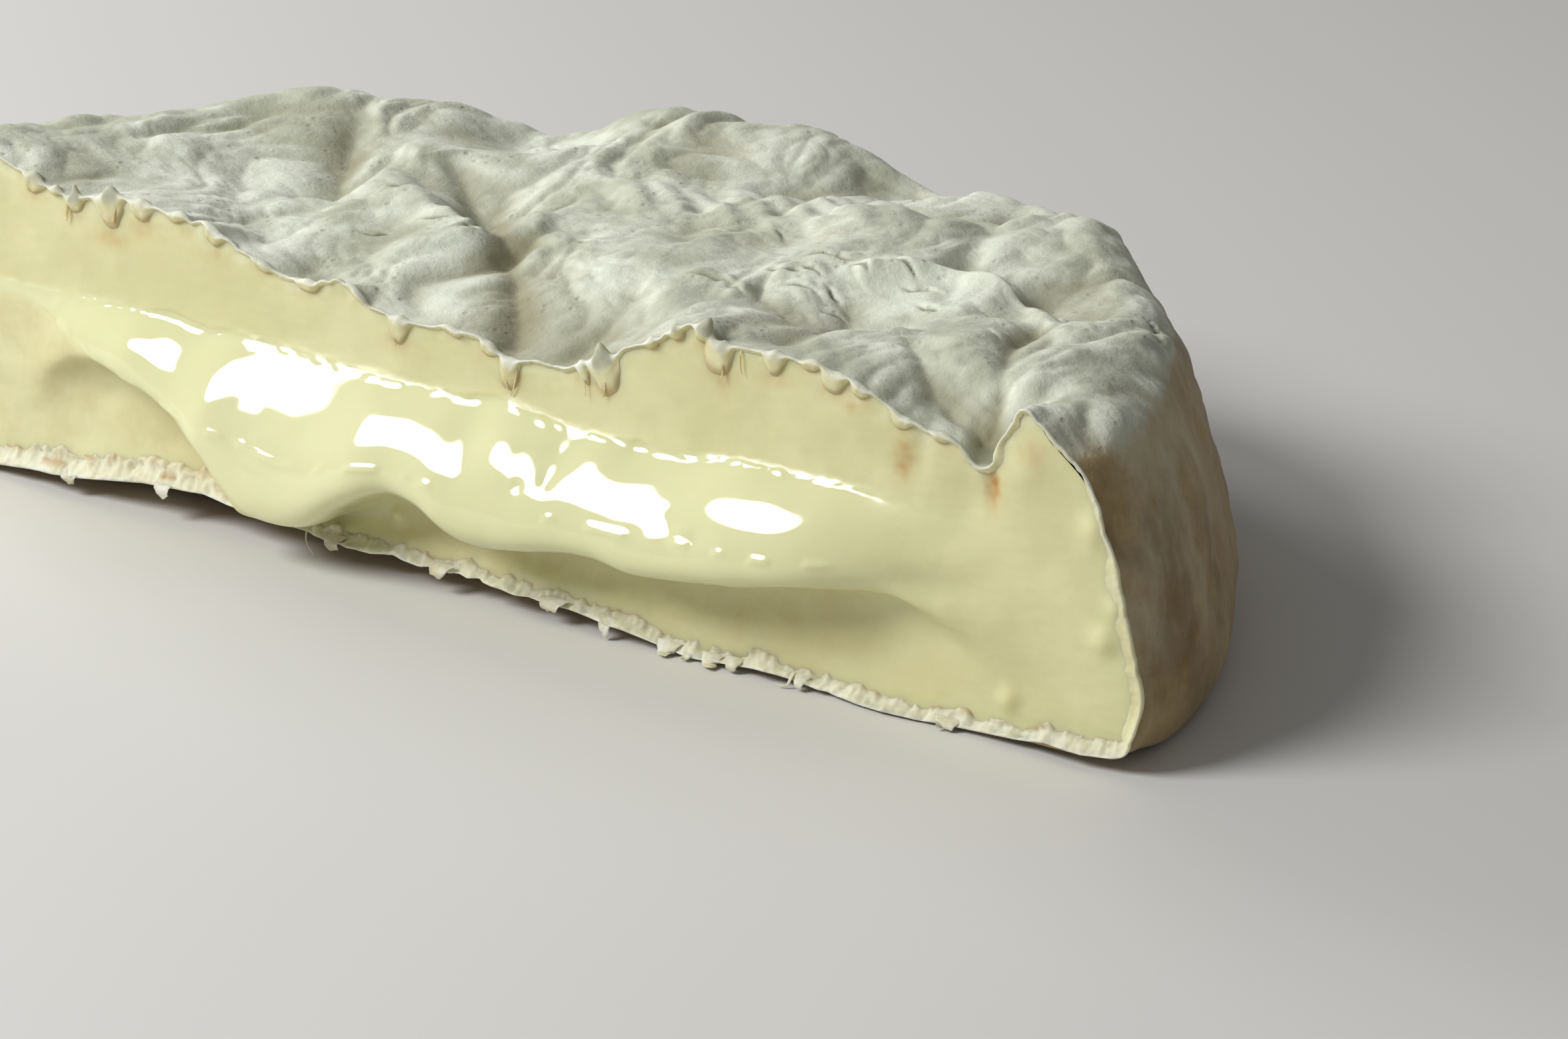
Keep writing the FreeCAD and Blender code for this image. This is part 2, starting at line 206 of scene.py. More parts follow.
# --- layers of noise, each as height, size, shift of the points and stretch ---
PUFF_FLOOR = 0.0015  # rounds the bottom of the valleys between puffed lumps
PUFF_MEAN = 0.42  # mean height of puffed lumps
BROAD_FOLDS = [(0.70, 14.0, 0, (1, 1.5, 1))]
LUMPS = [(1.10, 8.4, 0, (1, 1.6, 1))]
CREASES = [(0.52, 4.4, 31, (0.9, 1.6, 1)), (0.15, 2.0, 57, (1.2, 1.2, 1))]
TOP_GRAIN = [(0.025, 0.8, 0)]
SWIRL = 4.0  # how far the crumpling is bent sideways
SWIRL_SIZE = 13.0
UPRIGHT_FOLDS = [(1.1, 15.0, 0, (1, 1, 3.2))]
UPRIGHT_LUMPS = [(0.45, 9.0, 40, (1, 1, 2.2))]
SIDE_LUMPS = [(0.28, 4.4, 60, (1.2, 1.2, 0.9))]
SIDE_GRAIN = [(0.08, 2.2, 0), (0.025, 0.9, 9)]
CURL_WAVES = [(0.30, 3.2, 0), (0.16, 1.1, 15)]
EDGE_WAVES = [(0.12, 2.6, 0), (0.07, 0.9, 20)]
FOOT_TEARS = [(0.75, 4.2, 50), (0.42, 1.5, 80), (0.16, 0.6, 90)]
UPPER_TEARS = [(0.20, 2.0, 0), (0.08, 0.6, 9)]
FLANK_TEARS = [(0.45, 3.4, 0), (0.15, 1.0, 5)]
BASE_TEARS = [(0.70, 3.2, 0), (0.42, 1.2, 7), (0.18, 0.5, 17)]
THICK_TEARS = [(0.60, 2.4, 33)]
FUZZ = [(0.08, 0.55, 0), (0.13, 1.3, 8)]
LIP_LINE_WAVES = [(0.35, 4.0, 90), (0.18, 1.1, 80)]
WET_WAVES = [(0.10, 7.0, 0, (1.6, 1, 0.8)), (0.035, 2.3, 12, (1.4, 1, 0.8))]
FIRM_WAVES = [(0.10, 4.2, 30), (0.028, 1.1, 37, (1.6, 1, 0.8))]
KNIFE_DRAG = [(0.012, 0.6, 0, (2.5, 1, 0.7))]
RECESS_WAVES = [(0.16, 2.6, 60, (1.6, 1, 0.9)), (0.03, 0.8, 64)]

# --- zones of the rind and how it is cut ---
TOP_TILT = (0.45, 0.85)  # upward share of the normal over which the side turns into the top
BASE_TILT = (-0.5, -0.95)
SIDE_FADE = (1.0, 9.0)  # heights over which the side's relief grows from the foot
CURL_FADE = (9.0, 0.0)  # heights over which the foot's curl dies out
KEPT_IN_FRONT = 4.0  # rind laid out in front of the cut, so that the knife has something to take away
HUB_REACH = 0.002  # the base's rows meet within this many metres of the wheel's middle
TOUCH = 1e-6  # metres within which two points are one
EDGE_PROUD = 0.22  # how far the cut rind stands in front of the cut plane
FOOT_PROUD = 0.80  # the same at the foot, on top of it
FOOT_ZONE = (6.5, 2.5)
LEAST_PROUD = 0.05
UPPER_DEPTH = 0.42  # visible thickness of the rind on the upper run, the flanks and the base
FLANK_DEPTH = 1.35
BASE_DEPTH = 1.05
THICKENING = 1.00  # more of it along the base's left part
THICK_RUN = (-14.0, -32.0)
LEAST_DEPTH = 0.22
CHAP_HALF_WIDTH = 0.24
CREST_OFFSET = 0.75  # from a crack to the swollen skin beside it
CREST_HALF_WIDTH = 0.8

# --- where the cut face meets the rind ---
END_RUN = 57.0  # the outline's ends lie farther out than this
END_DROP = 0.8  # the ends are read up to this much below their highest point
END_LEVELS = 90
END_GAP = 0.28  # the paste stays this far inside the rind's flanks
EDGE_BINS = np.linspace(-66.5, 66.5, 534)
UPPER_FROM = 12.0  # lowest height that counts as the upper edge
BASE_UP_TO = 9.0  # greatest height that counts as the base's edge
BASE_RUN = 61.5  # half length of the base's edge
EDGE_GAP = 0.10


# --- small tools ---
def smooth(value):
    value = np.clip(value, 0.0, 1.0)
    return value * value * (3 - 2 * value)


def between(low, high, value):
    """0 at low, 1 at high and a smooth rise between; high may lie below low."""
    return smooth((value - low) / (high - low))


def spline(points, count):
    """Points of a clamped cubic B-spline over a few poles."""
    poles = np.array(points, float)
    poles = np.vstack([poles[:1], poles[:1], poles, poles[-1:], poles[-1:]])
    spans = len(poles) - 3
    where = np.linspace(0, spans, count)
    first = np.minimum(where.astype(int), spans - 1)
    t = (where - first)[:, None]
    weights = [(1 - t) ** 3, 3 * t ** 3 - 6 * t ** 2 + 4, -3 * t ** 3 + 3 * t ** 2 + 3 * t + 1, t ** 3]
    return sum(weight * poles[first + shift] for shift, weight in enumerate(weights)) / 6


def even_steps(points, count):
    """The same line with its points at equal distances."""
    length = np.concatenate([[0], np.cumsum(np.linalg.norm(np.diff(points, axis=0), axis=1))])
    where = np.linspace(0, length[-1], count)
    return np.stack([np.interp(where, length, points[:, axis]) for axis in range(points.shape[1])], axis=1)


def line_value(points, place):
    """Values at places of a smooth line through a few (place, value) points."""
    where, value = np.array(points, float).T
    slope = np.gradient(value)
    slope[1:-1] = (value[2:] - value[:-2]) / (where[2:] - where[:-2])
    slope[0] = (value[1] - value[0]) / (where[1] - where[0])
    slope[-1] = (value[-1] - value[-2]) / (where[-1] - where[-2])
    place = np.clip(place, where[0], where[-1])
    after = np.clip(np.searchsorted(where, place, side="right"), 1, len(where) - 1)
    before = after - 1
    run = where[after] - where[before]
    t = (place - where[before]) / run
    keep = t * t * (3 - 2 * t)
    leave = slope[before] * run * t * (1 - t) * (1 - t)
    arrive = slope[after] * run * t * t * (t - 1)
    return value[before] * (1 - keep) + value[after] * keep + leave + arrive


class Noise:
    """Seeded gradient noise over points in space, about -1 to 1."""

    def __init__(self, seed):
        draw = np.random.default_rng(seed)
        self.order = np.tile(draw.permutation(256), 3)
        steep = draw.normal(size=(256, 3))
        self.steep = steep / np.linalg.norm(steep, axis=1)[:, None]

    def __call__(self, points, size, stretch=(1, 1, 1)):
        p = points / (size * np.array(stretch))
        cell = np.floor(p).astype(int)
        local = p - cell
        fade = local ** 3 * (local * (local * 6 - 15) + 10)
        cell &= 255
        total = np.zeros(len(p))
        for dx in (0, 1):
            for dy in (0, 1):
                for dz in (0, 1):
                    pick = self.order[cell[:, 0] + dx]
                    pick = self.order[pick + cell[:, 1] + dy]
                    pick = self.order[pick + cell[:, 2] + dz]
                    share = 1.0
                    for axis, step in enumerate((dx, dy, dz)):
                        share = share * (fade[:, axis] if step else 1 - fade[:, axis])
                    total += share * ((local - (dx, dy, dz)) * self.steep[pick]).sum(axis=1)
        return total * 1.6


def billow(noise, points, size, stretch=(1, 1, 1)):
    """Puffed lumps with narrow valleys between them, 0 in the valleys and about 1 on top."""
    return np.sqrt(noise(points, size, stretch) ** 2 + PUFF_FLOOR) * 1.5


def layered(noise, points, layers):
    """Several layers of one noise, added up."""
    return sum(height * noise(points + shift, size, *stretch) for height, size, shift, *stretch in layers)


def puffed(noise, points, layers):
    """Several layers of puffed lumps, added up round their mean."""
    return sum(
        height * (billow(noise, points + shift, size, *stretch) - PUFF_MEAN)
        for height, size, shift, *stretch in layers
    )


def distance_to_line(x, y, points):
    """Shortest distance from every (x, y) to a line, and how far along it that is, from 0 to 1."""
    line = spline(points, 40)
    best = np.full(len(x), 1e9)
    place = np.zeros(len(x))
    for index in range(len(line) - 1):
        start = line[index]
        run = line[index + 1] - start
        share = np.clip(((x - start[0]) * run[0] + (y - start[1]) * run[1]) / (run @ run), 0, 1)
        apart = np.hypot(x - start[0] - share * run[0], y - start[1] - share * run[1])
        place = np.where(apart < best, (index + share) / (len(line) - 1), place)
        best = np.minimum(best, apart)
    return best, place


# --- shape of the wheel ---
def lobe(angle):
    return 1.0 + sum(size * np.sin(turns * angle + math.radians(phase)) for turns, size, phase in SIDE_LOBES)


def hollowed(x, y):
    level = np.full(np.shape(x), HEIGHT)
    for share, degrees, depth, spread in HOLLOWS:
        hollow_x = share * RIM_RADIUS * math.cos(math.radians(degrees))
        hollow_y = share * RIM_RADIUS * math.sin(math.radians(degrees))
        apart = np.hypot(x - hollow_x, y - hollow_y) / spread
        level = level - depth * np.exp(-apart * apart)
    return level


def upper_face(x, y):
    near = np.exp(-((y + CUT_OFFSET) / EDGE_SPREAD) ** 2)
    edge = HEIGHT + line_value(CUT_EDGE, x / RIM_RADIUS)
    return hollowed(x, y) + near * (edge - hollowed(x, np.full(np.shape(x), -CUT_OFFSET)))


def side_profile():
    """(radius, share of the height) from just inside the rim down to the foot."""
    foot_round = 0.6 * FOOT_INSET
    belly = BELLY_HEIGHT / HEIGHT
    ring = RIM_RADIUS / 26
    return [
        (RIM_RADIUS - 2 * ring, 1.0),
        (RIM_RADIUS - ring, 1.0),
        (RIM_RADIUS, 1.0 - RIM_DROP / HEIGHT),
        *((BELLY_RADIUS - inset * RIM_INSET, share) for inset, share in reversed(SIDE_SLOPE)),
        (BELLY_RADIUS, belly),
        (BELLY_RADIUS - 0.15 * FOOT_INSET, 0.45 * belly),
        (FOOT_RADIUS + foot_round, 0.012),
        (FOOT_RADIUS, 0.0),
    ]


def side_rows(count):
    """Radius and share of the height down the side, at equal steps."""
    rows = spline(side_profile(), 600) * (1.0, HEIGHT)
    rows = even_steps(rows, count)
    return rows[:, 0], rows[:, 1] / HEIGHT


def side_point(radius, share, angle):
    swell = lobe(angle)
    radius = radius * swell
    inner = np.minimum(radius, RIM_RADIUS)
    level = share * upper_face(inner * np.cos(angle), inner * np.sin(angle))
    return np.stack([radius * np.cos(angle), radius * np.sin(angle), level], axis=-1)


def square_on_disc():
    """A grid of points laid over the unit disc, denser behind the cut and with no crowding at its middle."""
    across = np.linspace(-1, 1, TOP_COLUMNS + 1)
    front = np.linspace(-1, -0.12, FRONT_ROWS + 1)[:-1]
    back = np.linspace(-0.12, 1, TOP_ROWS + 1)
    a, b = np.meshgrid(across, np.concatenate([front, back]), indexing="ij")
    wide = np.abs(a) > np.abs(b)
    reach = np.where(wide, a, b)
    safe_a = np.where(np.abs(a) < 1e-12, 1e-12, a)
    safe_b = np.where(np.abs(b) < 1e-12, 1e-12, b)
    angle = np.where(wide, math.pi / 4 * b / safe_a, math.pi / 2 - math.pi / 4 * a / safe_b)
    return reach * np.cos(angle), reach * np.sin(angle)


def border_of_grid(shape):
    """Indices of the grid's border, once round it anticlockwise."""
    index = np.arange(shape[0] * shape[1]).reshape(shape)
    return np.concatenate([index[:-1, 0], index[-1, :-1], index[:0:-1, -1], index[0, :0:-1]])


def grid_faces(index):
    """Quads over a table of point indices."""
    return np.stack([index[:-1, :-1], index[1:, :-1], index[1:, 1:], index[:-1, 1:]], axis=-1).reshape(-1, 4)


def plain_rind():
    """Points and quads of the whole wheel's skin without folds."""
    unit_x, unit_y = square_on_disc()
    angle = np.arctan2(unit_y, unit_x)
    radius, share = side_rows(SIDE_ROWS)
    x = unit_x * radius[0] * lobe(angle)
    y = unit_y * radius[0] * lobe(angle)
    top = np.stack([x, y, upper_face(x, y)], axis=-1).reshape(-1, 3)
    border = border_of_grid(unit_x.shape)
    turns = np.arctan2(unit_y.reshape(-1)[border], unit_x.reshape(-1)[border])
    side = np.concatenate([side_point(radius[row], share[row], turns) for row in range(1, SIDE_ROWS)])
    base_share = (1 - np.arange(1, BASE_ROWS) / (BASE_ROWS - 1)) ** 1.5
    base = np.concatenate([side_point(FOOT_RADIUS * near, 0.0, turns) for near in base_share])
    points = np.concatenate([top, side, base])
    count = len(border)
    ring_index = np.concatenate([[border], len(top) + np.arange(len(side) + len(base)).reshape(-1, count)])
    ring_index = np.concatenate([ring_index, ring_index[:, :1]], axis=1)
    top_index = np.arange(len(top)).reshape(unit_x.shape)
    faces = np.concatenate([grid_faces(top_index), grid_faces(ring_index)])
    return points, faces


def add_object(name, data):
    made = bpy.data.objects.new(name, data)
    bpy.context.scene.collection.objects.link(made)
    return made


def make_mesh(name, points, faces, middle):
    """A mesh object from points in millimetres round the wheel's middle."""
    mesh = bpy.data.meshes.new(name)
    mesh.vertices.add(len(points))
    mesh.vertices.foreach_set("co", ((points + middle) * MM).astype(np.float32).ravel())
    mesh.loops.add(faces.size)
    mesh.loops.foreach_set("vertex_index", faces.astype(np.int32).ravel())
    mesh.polygons.add(len(faces))
    mesh.polygons.foreach_set("loop_start", np.arange(0, faces.size, faces.shape[1], dtype=np.int32))
    mesh.polygons.foreach_set("use_smooth", np.ones(len(faces), bool))
    mesh.update(calc_edges=True)
    return add_object(name, mesh)


def read_table(rows, field):
    table = np.zeros(len(rows) * 3, np.float32)
    rows.foreach_get(field, table)
    return table.reshape(-1, 3).astype(float)


def points_of(piece, middle):
    return read_table(piece.data.vertices, "co") / MM - middle


def normals_of(piece):
    return read_table(piece.data.vertex_normals, "vector")


def move_points(piece, points, middle):
    piece.data.vertices.foreach_set("co", ((points + middle) * MM).astype(np.float32).ravel())
    piece.data.update()


def store(piece, **tables):
    """Keeps numbers on the mesh, one per point and name, for the material to read."""
    for name, values in tables.items():
        layer = piece.data.attributes.new(name, "FLOAT", "POINT")
        layer.data.foreach_set("value", np.asarray(values, np.float32))


# --- relief of the rind ---
def fold_relief(points):
    """Heights that the long folds and pleats give the upper face."""
    x, y = points[:, 0], points[:, 1]
    height = np.zeros(len(points))
    for line, depth, width in FOLDS:
        apart, place = distance_to_line(x, y, line)
        ends = between(0, 0.22, place) * between(1.0, 0.8, place) if depth < 0 else between(0, 0.3, place)
        height -= depth * ends * np.exp(-((apart / width) ** 1.5))
    for pleat in range(PLEATS):
        start = np.array(PLEAT_START) + np.array(PLEAT_STEP) * pleat
        bend = start + np.array(PLEAT_RUN) * 0.5 + (1.0, 1.0)
        apart, place = distance_to_line(x, y, [start, bend, start + np.array(PLEAT_RUN)])
        ends = between(0, 0.4, place) * between(1.0, 0.6, place)
        height += PLEAT_DEPTH * ends * np.exp(-((apart / PLEAT_WIDTH) ** 2))
    return height


def chap_relief(points):
    """Depth of the cracks in the chapped skin, the crest that each one splits, and a mask of their inside."""
    ragged = Noise(33)
    x, y = points[:, 0], points[:, 1]
    height = np.zeros(len(points))
    mask = np.zeros(len(points))
    wander = 0.45 * ragged(points * (1, 1, 0), 1.6)
    for spot_x, spot_y, length, turn, depth in CHAPS:
        close = np.hypot(x - spot_x, y - spot_y) < length + 3
        cos, sin = math.cos(math.radians(turn)), math.sin(math.radians(turn))
        run = (x[close] - spot_x) * cos + (y[close] - spot_y) * sin
        bow = 0.10 * (run * run / length - 0.25 * length)
        away = -(x[close] - spot_x) * sin + (y[close] - spot_y) * cos + bow + wander[close]
        ends = np.exp(-((2.1 * run / length) ** 4))
        groove = ends * np.exp(-((away / CHAP_HALF_WIDTH) ** 2))
        crest = ends * np.exp(-(((away - CREST_OFFSET) / CREST_HALF_WIDTH) ** 2))
        crest += 0.5 * ends * np.exp(-(((away + CREST_HALF_WIDTH) / CREST_HALF_WIDTH) ** 2))
        height[close] += depth * (0.75 * crest - groove)
        mask[close] = np.maximum(mask[close], groove)
    return height, mask


def crumple(points):
    """Heights of the upper face's own crumpling, from puffed lumps down to fine creases."""
    broad, middling, fine, warp = Noise(11), Noise(12), Noise(13), Noise(14)
    flat = points * (1, 1, 0.4)
    sideways = [warp(flat, SWIRL_SIZE), warp(flat + 70, SWIRL_SIZE), np.zeros(len(flat))]
    bent = flat + SWIRL * np.stack(sideways, axis=1)
    height = layered(broad, bent, BROAD_FOLDS) + puffed(middling, bent, LUMPS)
    return height + puffed(fine, bent, CREASES) + layered(fine, flat, TOP_GRAIN)


def side_relief(points):
    """Heights of the side: broad upright folds and a little grain."""
    upright, grain = Noise(21), Noise(22)
    height = layered(upright, points, UPRIGHT_FOLDS) + puffed(upright, points, UPRIGHT_LUMPS)
    return height + puffed(grain, points, SIDE_LUMPS) + layered(grain, points, SIDE_GRAIN)


def foot_lift(x, y):
    """How far the base has curled up off the board near the cut."""
    return line_value(FOOT_LIFT, x / RIM_RADIUS) * smooth(1 - (y + CUT_OFFSET) / FOOT_CURL)


def ragged_edge(x, z):
    """How far the knife left the rind standing in front of the cut plane."""
    tear = Noise(31)
    place = np.stack([x, np.zeros(len(x)), z], axis=1)
    edge = EDGE_PROUD + layered(tear, place, EDGE_WAVES)
    edge += between(*FOOT_ZONE, z) * (FOOT_PROUD + layered(tear, place, FOOT_TEARS))
    return np.maximum(edge, LEAST_PROUD)


def build_rind(middle):
    """The white skin over the top, the side and the base, cut open at the front."""
    points, faces = plain_rind()
    faces = faces[(points[:, 1] > -CUT_OFFSET - KEPT_IN_FRONT)[faces].any(axis=1)]
    used = np.unique(faces)
    renumber = np.zeros(len(points), int)
    renumber[used] = np.arange(len(used))
    piece = make_mesh("rind", points[used], renumber[faces], middle)
    points = points[used]
    normals = normals_of(piece)
    on_top = between(*TOP_TILT, normals[:, 2])
    on_base = between(*BASE_TILT, normals[:, 2]) * between(1.0, 0.2, points[:, 2])
    chaps, inside = chap_relief(points)
    folds = crumple(points) + fold_relief(points)
    relief = on_top * (folds + chaps)
    relief += (1 - on_top) * side_relief(points) * between(*SIDE_FADE, points[:, 2])
    relief *= 1 - on_base
    points = points + normals * relief[:, None]
    points[:, 2] = np.maximum(points[:, 2], 0.0)
    curl = layered(Noise(34), points * (1, 1, 0), CURL_WAVES) * between(3.5, -1.0, points[:, 1] + CUT_OFFSET)
    lift = np.maximum(foot_lift(points[:, 0], points[:, 1]) + curl, 0.0)
    points[:, 2] += lift * between(*CURL_FADE, points[:, 2])
    move_points(piece, points, middle)
    level = points[:, 2] / upper_face(points[:, 0], points[:, 1])
    top_zone = between(0.45, 1.30, normals[:, 2] + 0.5 * between(0.80, 1.0, level))
    # mask of the folds' low parts, where the material paints darker beige, partly painted shade
    hollow = between(0.1, -1.3, folds) * on_top
    side_rise = between(0.15, 1.0, level)
    store(piece, chapped=inside * on_top, hollow=hollow, side_rise=side_rise, top_zone=top_zone)
    cut_away_front(piece, middle)
    return piece


def cut_away_front(piece, middle):
    """Takes off what lies in front of the ragged cut."""
    points = points_of(piece, middle)
    shift = ragged_edge(points[:, 0], points[:, 2])
    points[:, 1] += shift
    move_points(piece, points, middle)
    work = bmesh.new()
    work.from_mesh(piece.data)
    hub = [
        vert for vert in work.verts
        if vert.co.z < TOUCH and math.dist(vert.co.xy, middle[:2] * MM) < HUB_REACH
    ]
    bmesh.ops.remove_doubles(work, verts=hub, dist=TOUCH)
    plane = Vector((0, (-CUT_OFFSET + middle[1]) * MM, 0))
    everything = list(work.verts) + list(work.edges) + list(work.faces)
    bmesh.ops.bisect_plane(work, geom=everything, plane_co=plane, plane_no=(0, -1, 0), clear_outer=True)
    work.to_mesh(piece.data)
    work.free()
    points = points_of(piece, middle)
    points[:, 1] -= ragged_edge(points[:, 0], points[:, 2])
    move_points(piece, points, middle)


def cut_outline(piece, middle):
    """The rind's cut border as one closed line of (x, z) points, clockwise seen from the front."""
    mesh = piece.data
    work = bmesh.new()
    work.from_mesh(mesh)
    loops = []
    border = {edge for edge in work.edges if len(edge.link_faces) == 1}
    while border:
        edge = border.pop()
        start, current = edge.verts
        chain = [start, current]
        while current is not start:
            onward = next((step for step in current.link_edges if step in border), None)
            if onward is None:
                break
            border.discard(onward)
            current = onward.other_vert(current)
            chain.append(current)
        loops.append(chain)
    chain = max(loops, key=lambda verts: sum((a.co - b.co).length for a, b in zip(verts, verts[1:])))
    line = np.array([tuple(vert.co) for vert in chain[:-1]]) / MM - middle
    work.free()
    area = np.sum(line[:, 0] * np.roll(line[:, 2], -1) - np.roll(line[:, 0], -1) * line[:, 2])
    if area > 0:
        line = line[::-1]
    line = np.roll(line, -int(np.argmin(line[:, 0])), axis=0)  # always the same start, at the left end
    return np.concatenate([line, line[:1]])


# --- torn thickness of the rind ---
# Rows behind the rind's edge: depth from the skin inwards, distance back from the edge.
SECTION_BACK = [(0.14, 0.60), (-0.02, 0.28), (-0.05, 0.06)]
# Section of the cut rind: share of its depth from the skin inwards, height in front of the cut plane.
SECTION_PROFILE = [
    (0.03, 0.5), (0.08, 0.8), (0.16, 0.97), (0.28, 1.00), (0.42, 0.97), (0.56, 0.9), (0.7, 0.74),
    (0.82, 0.5), (0.91, 0.22), (0.98, -0.1), (1.03, -0.55), (1.06, -1.2),
]


def place_kinds(line, inward):
    """Shares of the upper run, the base run and the flanks at every point of the cut outline."""
    base = between(7.0, 4.0, line[:, 2]) * between(0.3, 0.8, inward[:, 1])
    upper = between(0.2, 0.6, -inward[:, 1]) * between(12.0, 18.0, line[:, 2])
    return upper, base, 1 - upper - base


def build_section(middle, outline):
    """The rind's torn thickness as one ribbon round the cut."""
    length = np.linalg.norm(np.diff(outline, axis=0), axis=1).sum()
    line = even_steps(outline, int(length / SECTION_STEP) + 1)[:-1]
    ahead = sum(np.roll(line, -reach, axis=0) - np.roll(line, reach, axis=0) for reach in (3, 6, 9))
    inward = np.stack([ahead[:, 2], -ahead[:, 0]], axis=1)
    inward /= np.linalg.norm(inward, axis=1)[:, None]
    upper, base, flank = place_kinds(line, inward)
    thick = base * between(*THICK_RUN, line[:, 0])
    tear, fibre = Noise(51), Noise(52)
    place = line * (1, 0, 1)
    kinds = (
        (upper, UPPER_DEPTH, UPPER_TEARS), (flank, FLANK_DEPTH, FLANK_TEARS),
        (base, BASE_DEPTH, BASE_TEARS), (thick, THICKENING, THICK_TEARS),
    )
    depth = sum(kind * (mean + layered(tear, place, tears)) for kind, mean, tears in kinds)
    proud = 0.10 + 0.05 * tear(place + 3, 1.4) + base * (0.10 + 0.40 * tear(place + 27, 2.4)) + 0.08 * flank
    spike = nub = np.zeros(len(line))
    for spot, drop, half, rise in NUBS:
        along = (line[:, 0] - spot) / half
        bell = np.exp(-(np.abs(along) ** 3.2)) * upper
        depth = np.maximum(depth, drop * bell)
        nub = np.maximum(nub, bell)
        spike = np.maximum(spike, rise * np.exp(-(((along - 0.25) / 0.55) ** 2)) * upper)
    depth = np.maximum(depth, LEAST_DEPTH)
    proud = np.maximum(proud + nub * (0.28 + 0.12 * tear(place + 13, 1.0)), 0.04)
    rows = [(sink - (spike if sink < 0 else 0), line[:, 1] + back) for sink, back in SECTION_BACK]
    for share, front in SECTION_PROFILE:
        blend = smooth(share * 1.6)
        level = line[:, 1] * (1 - blend) - CUT_OFFSET * blend - proud * front
        if front < 0:
            level = -CUT_OFFSET - front * (0.5 + 1.3 * base)
        rows.append((depth * share - spike * max(0.0, 0.75 - 5 * share), level))
    points = np.stack([
        np.stack([line[:, 0] + inward[:, 0] * move, level, line[:, 2] + inward[:, 1] * move], axis=1)
        for move, level in rows
    ], axis=1)
    inner = np.array([0.0] * len(SECTION_BACK) + [share for share, front in SECTION_PROFILE])
    fuzz = layered(fibre, points.reshape(-1, 3), FUZZ).reshape(points.shape[:2])
    fuzz *= between(0.0, 0.2, inner) * (0.5 + 1.6 * base)[:, None]
    points[:, :, 1] -= fuzz
    points[:, :, 2] = np.maximum(points[:, :, 2] + fuzz * 0.6 * base[:, None], 0.02)
    count, across = points.shape[:2]
    points = points.reshape(-1, 3)
    index = np.arange(count * across).reshape(count, across)
    piece = make_mesh("rind_section", points, grid_faces(np.concatenate([index, index[:1]])), middle)
    inner = np.tile(inner, count)
    base, flank, thick, nub, spike = (np.repeat(kind, across) for kind in (base, flank, thick, nub, spike))
    speck = between(0.1, 0.5, tear(points + 40, 1.6))
    stain = 0.75 * np.exp(-(((inner - 0.86) / 0.16) ** 2)) * between(0.25, 0.7, nub)
    # worn: painted shade along the base's inner edge, where it meets the paste, broken by specks; then brown
    # specks in the thick part
    worn = between(0.55, 0.95, inner) * base * (0.35 + 0.65 * speck)
    worn += thick * speck * np.exp(-(((inner - 0.45) / 0.16) ** 2))
    tip = between(0.1, 0.5, spike) * between(0.35, 0.05, inner)
    store(piece, inner=inner, base_run=base, flank=flank, tip=tip, stain=np.maximum(stain, worn))
    return piece


# Torn flaps and threads: place, share of the height of the edge they hang from (0 base, 1 top), length,
# half width, lean along the cut, thickness.
SHREDS = [
    (24.8, 0, 2.1, 1.5, 0.25, 0.12), (26.9, 0, 1.0, 0.7, -0.3, 0.09), (29.3, 0, 1.9, 1.3, 0.45, 0.11),
    (31.6, 0, 0.9, 1.1, 0.2, 0.1), (37.4, 0, 2.4, 0.24, -0.45, 0.07), (38.3, 0, 0.9, 0.9, 0.3, 0.1),
    (18.4, 0, 1.4, 1.1, 0.35, 0.11), (12.6, 0, 0.8, 1.9, -0.4, 0.1), (0.4, 0, 0.9, 1.6, -0.5, 0.09),
    (-11.5, 0, 1.0, 1.5, 0.5, 0.08), (-14.6, 0, 2.0, 0.11, 0.6, 0.06), (-31.5, 0, 1.2, 1.6, 0.4, 0.09),
    (-43.0, 0, 0.9, 1.8, 0.4, 0.1), (52.5, 0, 0.7, 1.6, -0.4, 0.1), (-42.4, 1, 1.9, 0.22, -0.1, 0.09),
    (-36.4, 1, 2.2, 0.14, -0.2, 0.08), (-4.9, 1, 2.2, 0.1, 0.2, 0.06), (7.2, 1, 2.7, 0.11, 0.2, 0.06),
    (8.6, 1, 2.8, 0.11, -0.2, 0.06), (15.7, 1, 2.6, 0.1, 0.06, 0.06), (18.1, 1, 3.0, 0.12, -0.14, 0.07),
    (29.9, 1, 2.5, 0.14, -0.1, 0.08), (31.4, 1, 1.9, 0.1, 0.1, 0.06),
]
SHRED_STEPS = 22
SHRED_SIDES = 12


def one_shred(root, length, half_width, lean, thickness, hangs):
    """A flat, tapering flap with a worn tip, as rings of points."""
    forward = -0.55 if hangs else -0.08
    tip = root + (lean * length, forward * length * 0.5, -length)
    bend = root + (0.15 * lean * length, forward * 0.9, -0.45 * length)
    line = spline([root + (0, 0.5, 0.15), root, bend, tip], SHRED_STEPS)
    if hangs:
        line[:, 2] = np.maximum(line[:, 2], 0.12)
    run = np.gradient(line, axis=0)
    run /= np.linalg.norm(run, axis=1)[:, None] + 1e-9
    side = np.array([1.0, 0.0, 0.0]) - run * run[:, :1]
    side /= np.linalg.norm(side, axis=1)[:, None] + 1e-9
    face = np.cross(run, side)
    t = np.linspace(0, 1, SHRED_STEPS)
    taper = np.clip(1 - t, 0.01, 1) ** (0.75 if hangs else 0.4)
    turns = np.linspace(0, 2 * math.pi, SHRED_SIDES, endpoint=False)
    wide = (half_width * taper)[:, None] * side
    thick = (thickness * (0.35 + 0.65 * taper))[:, None] * face
    turns = turns[None, :, None]
    return line[:, None, :] + wide[:, None, :] * np.cos(turns) + thick[:, None, :] * np.sin(turns)


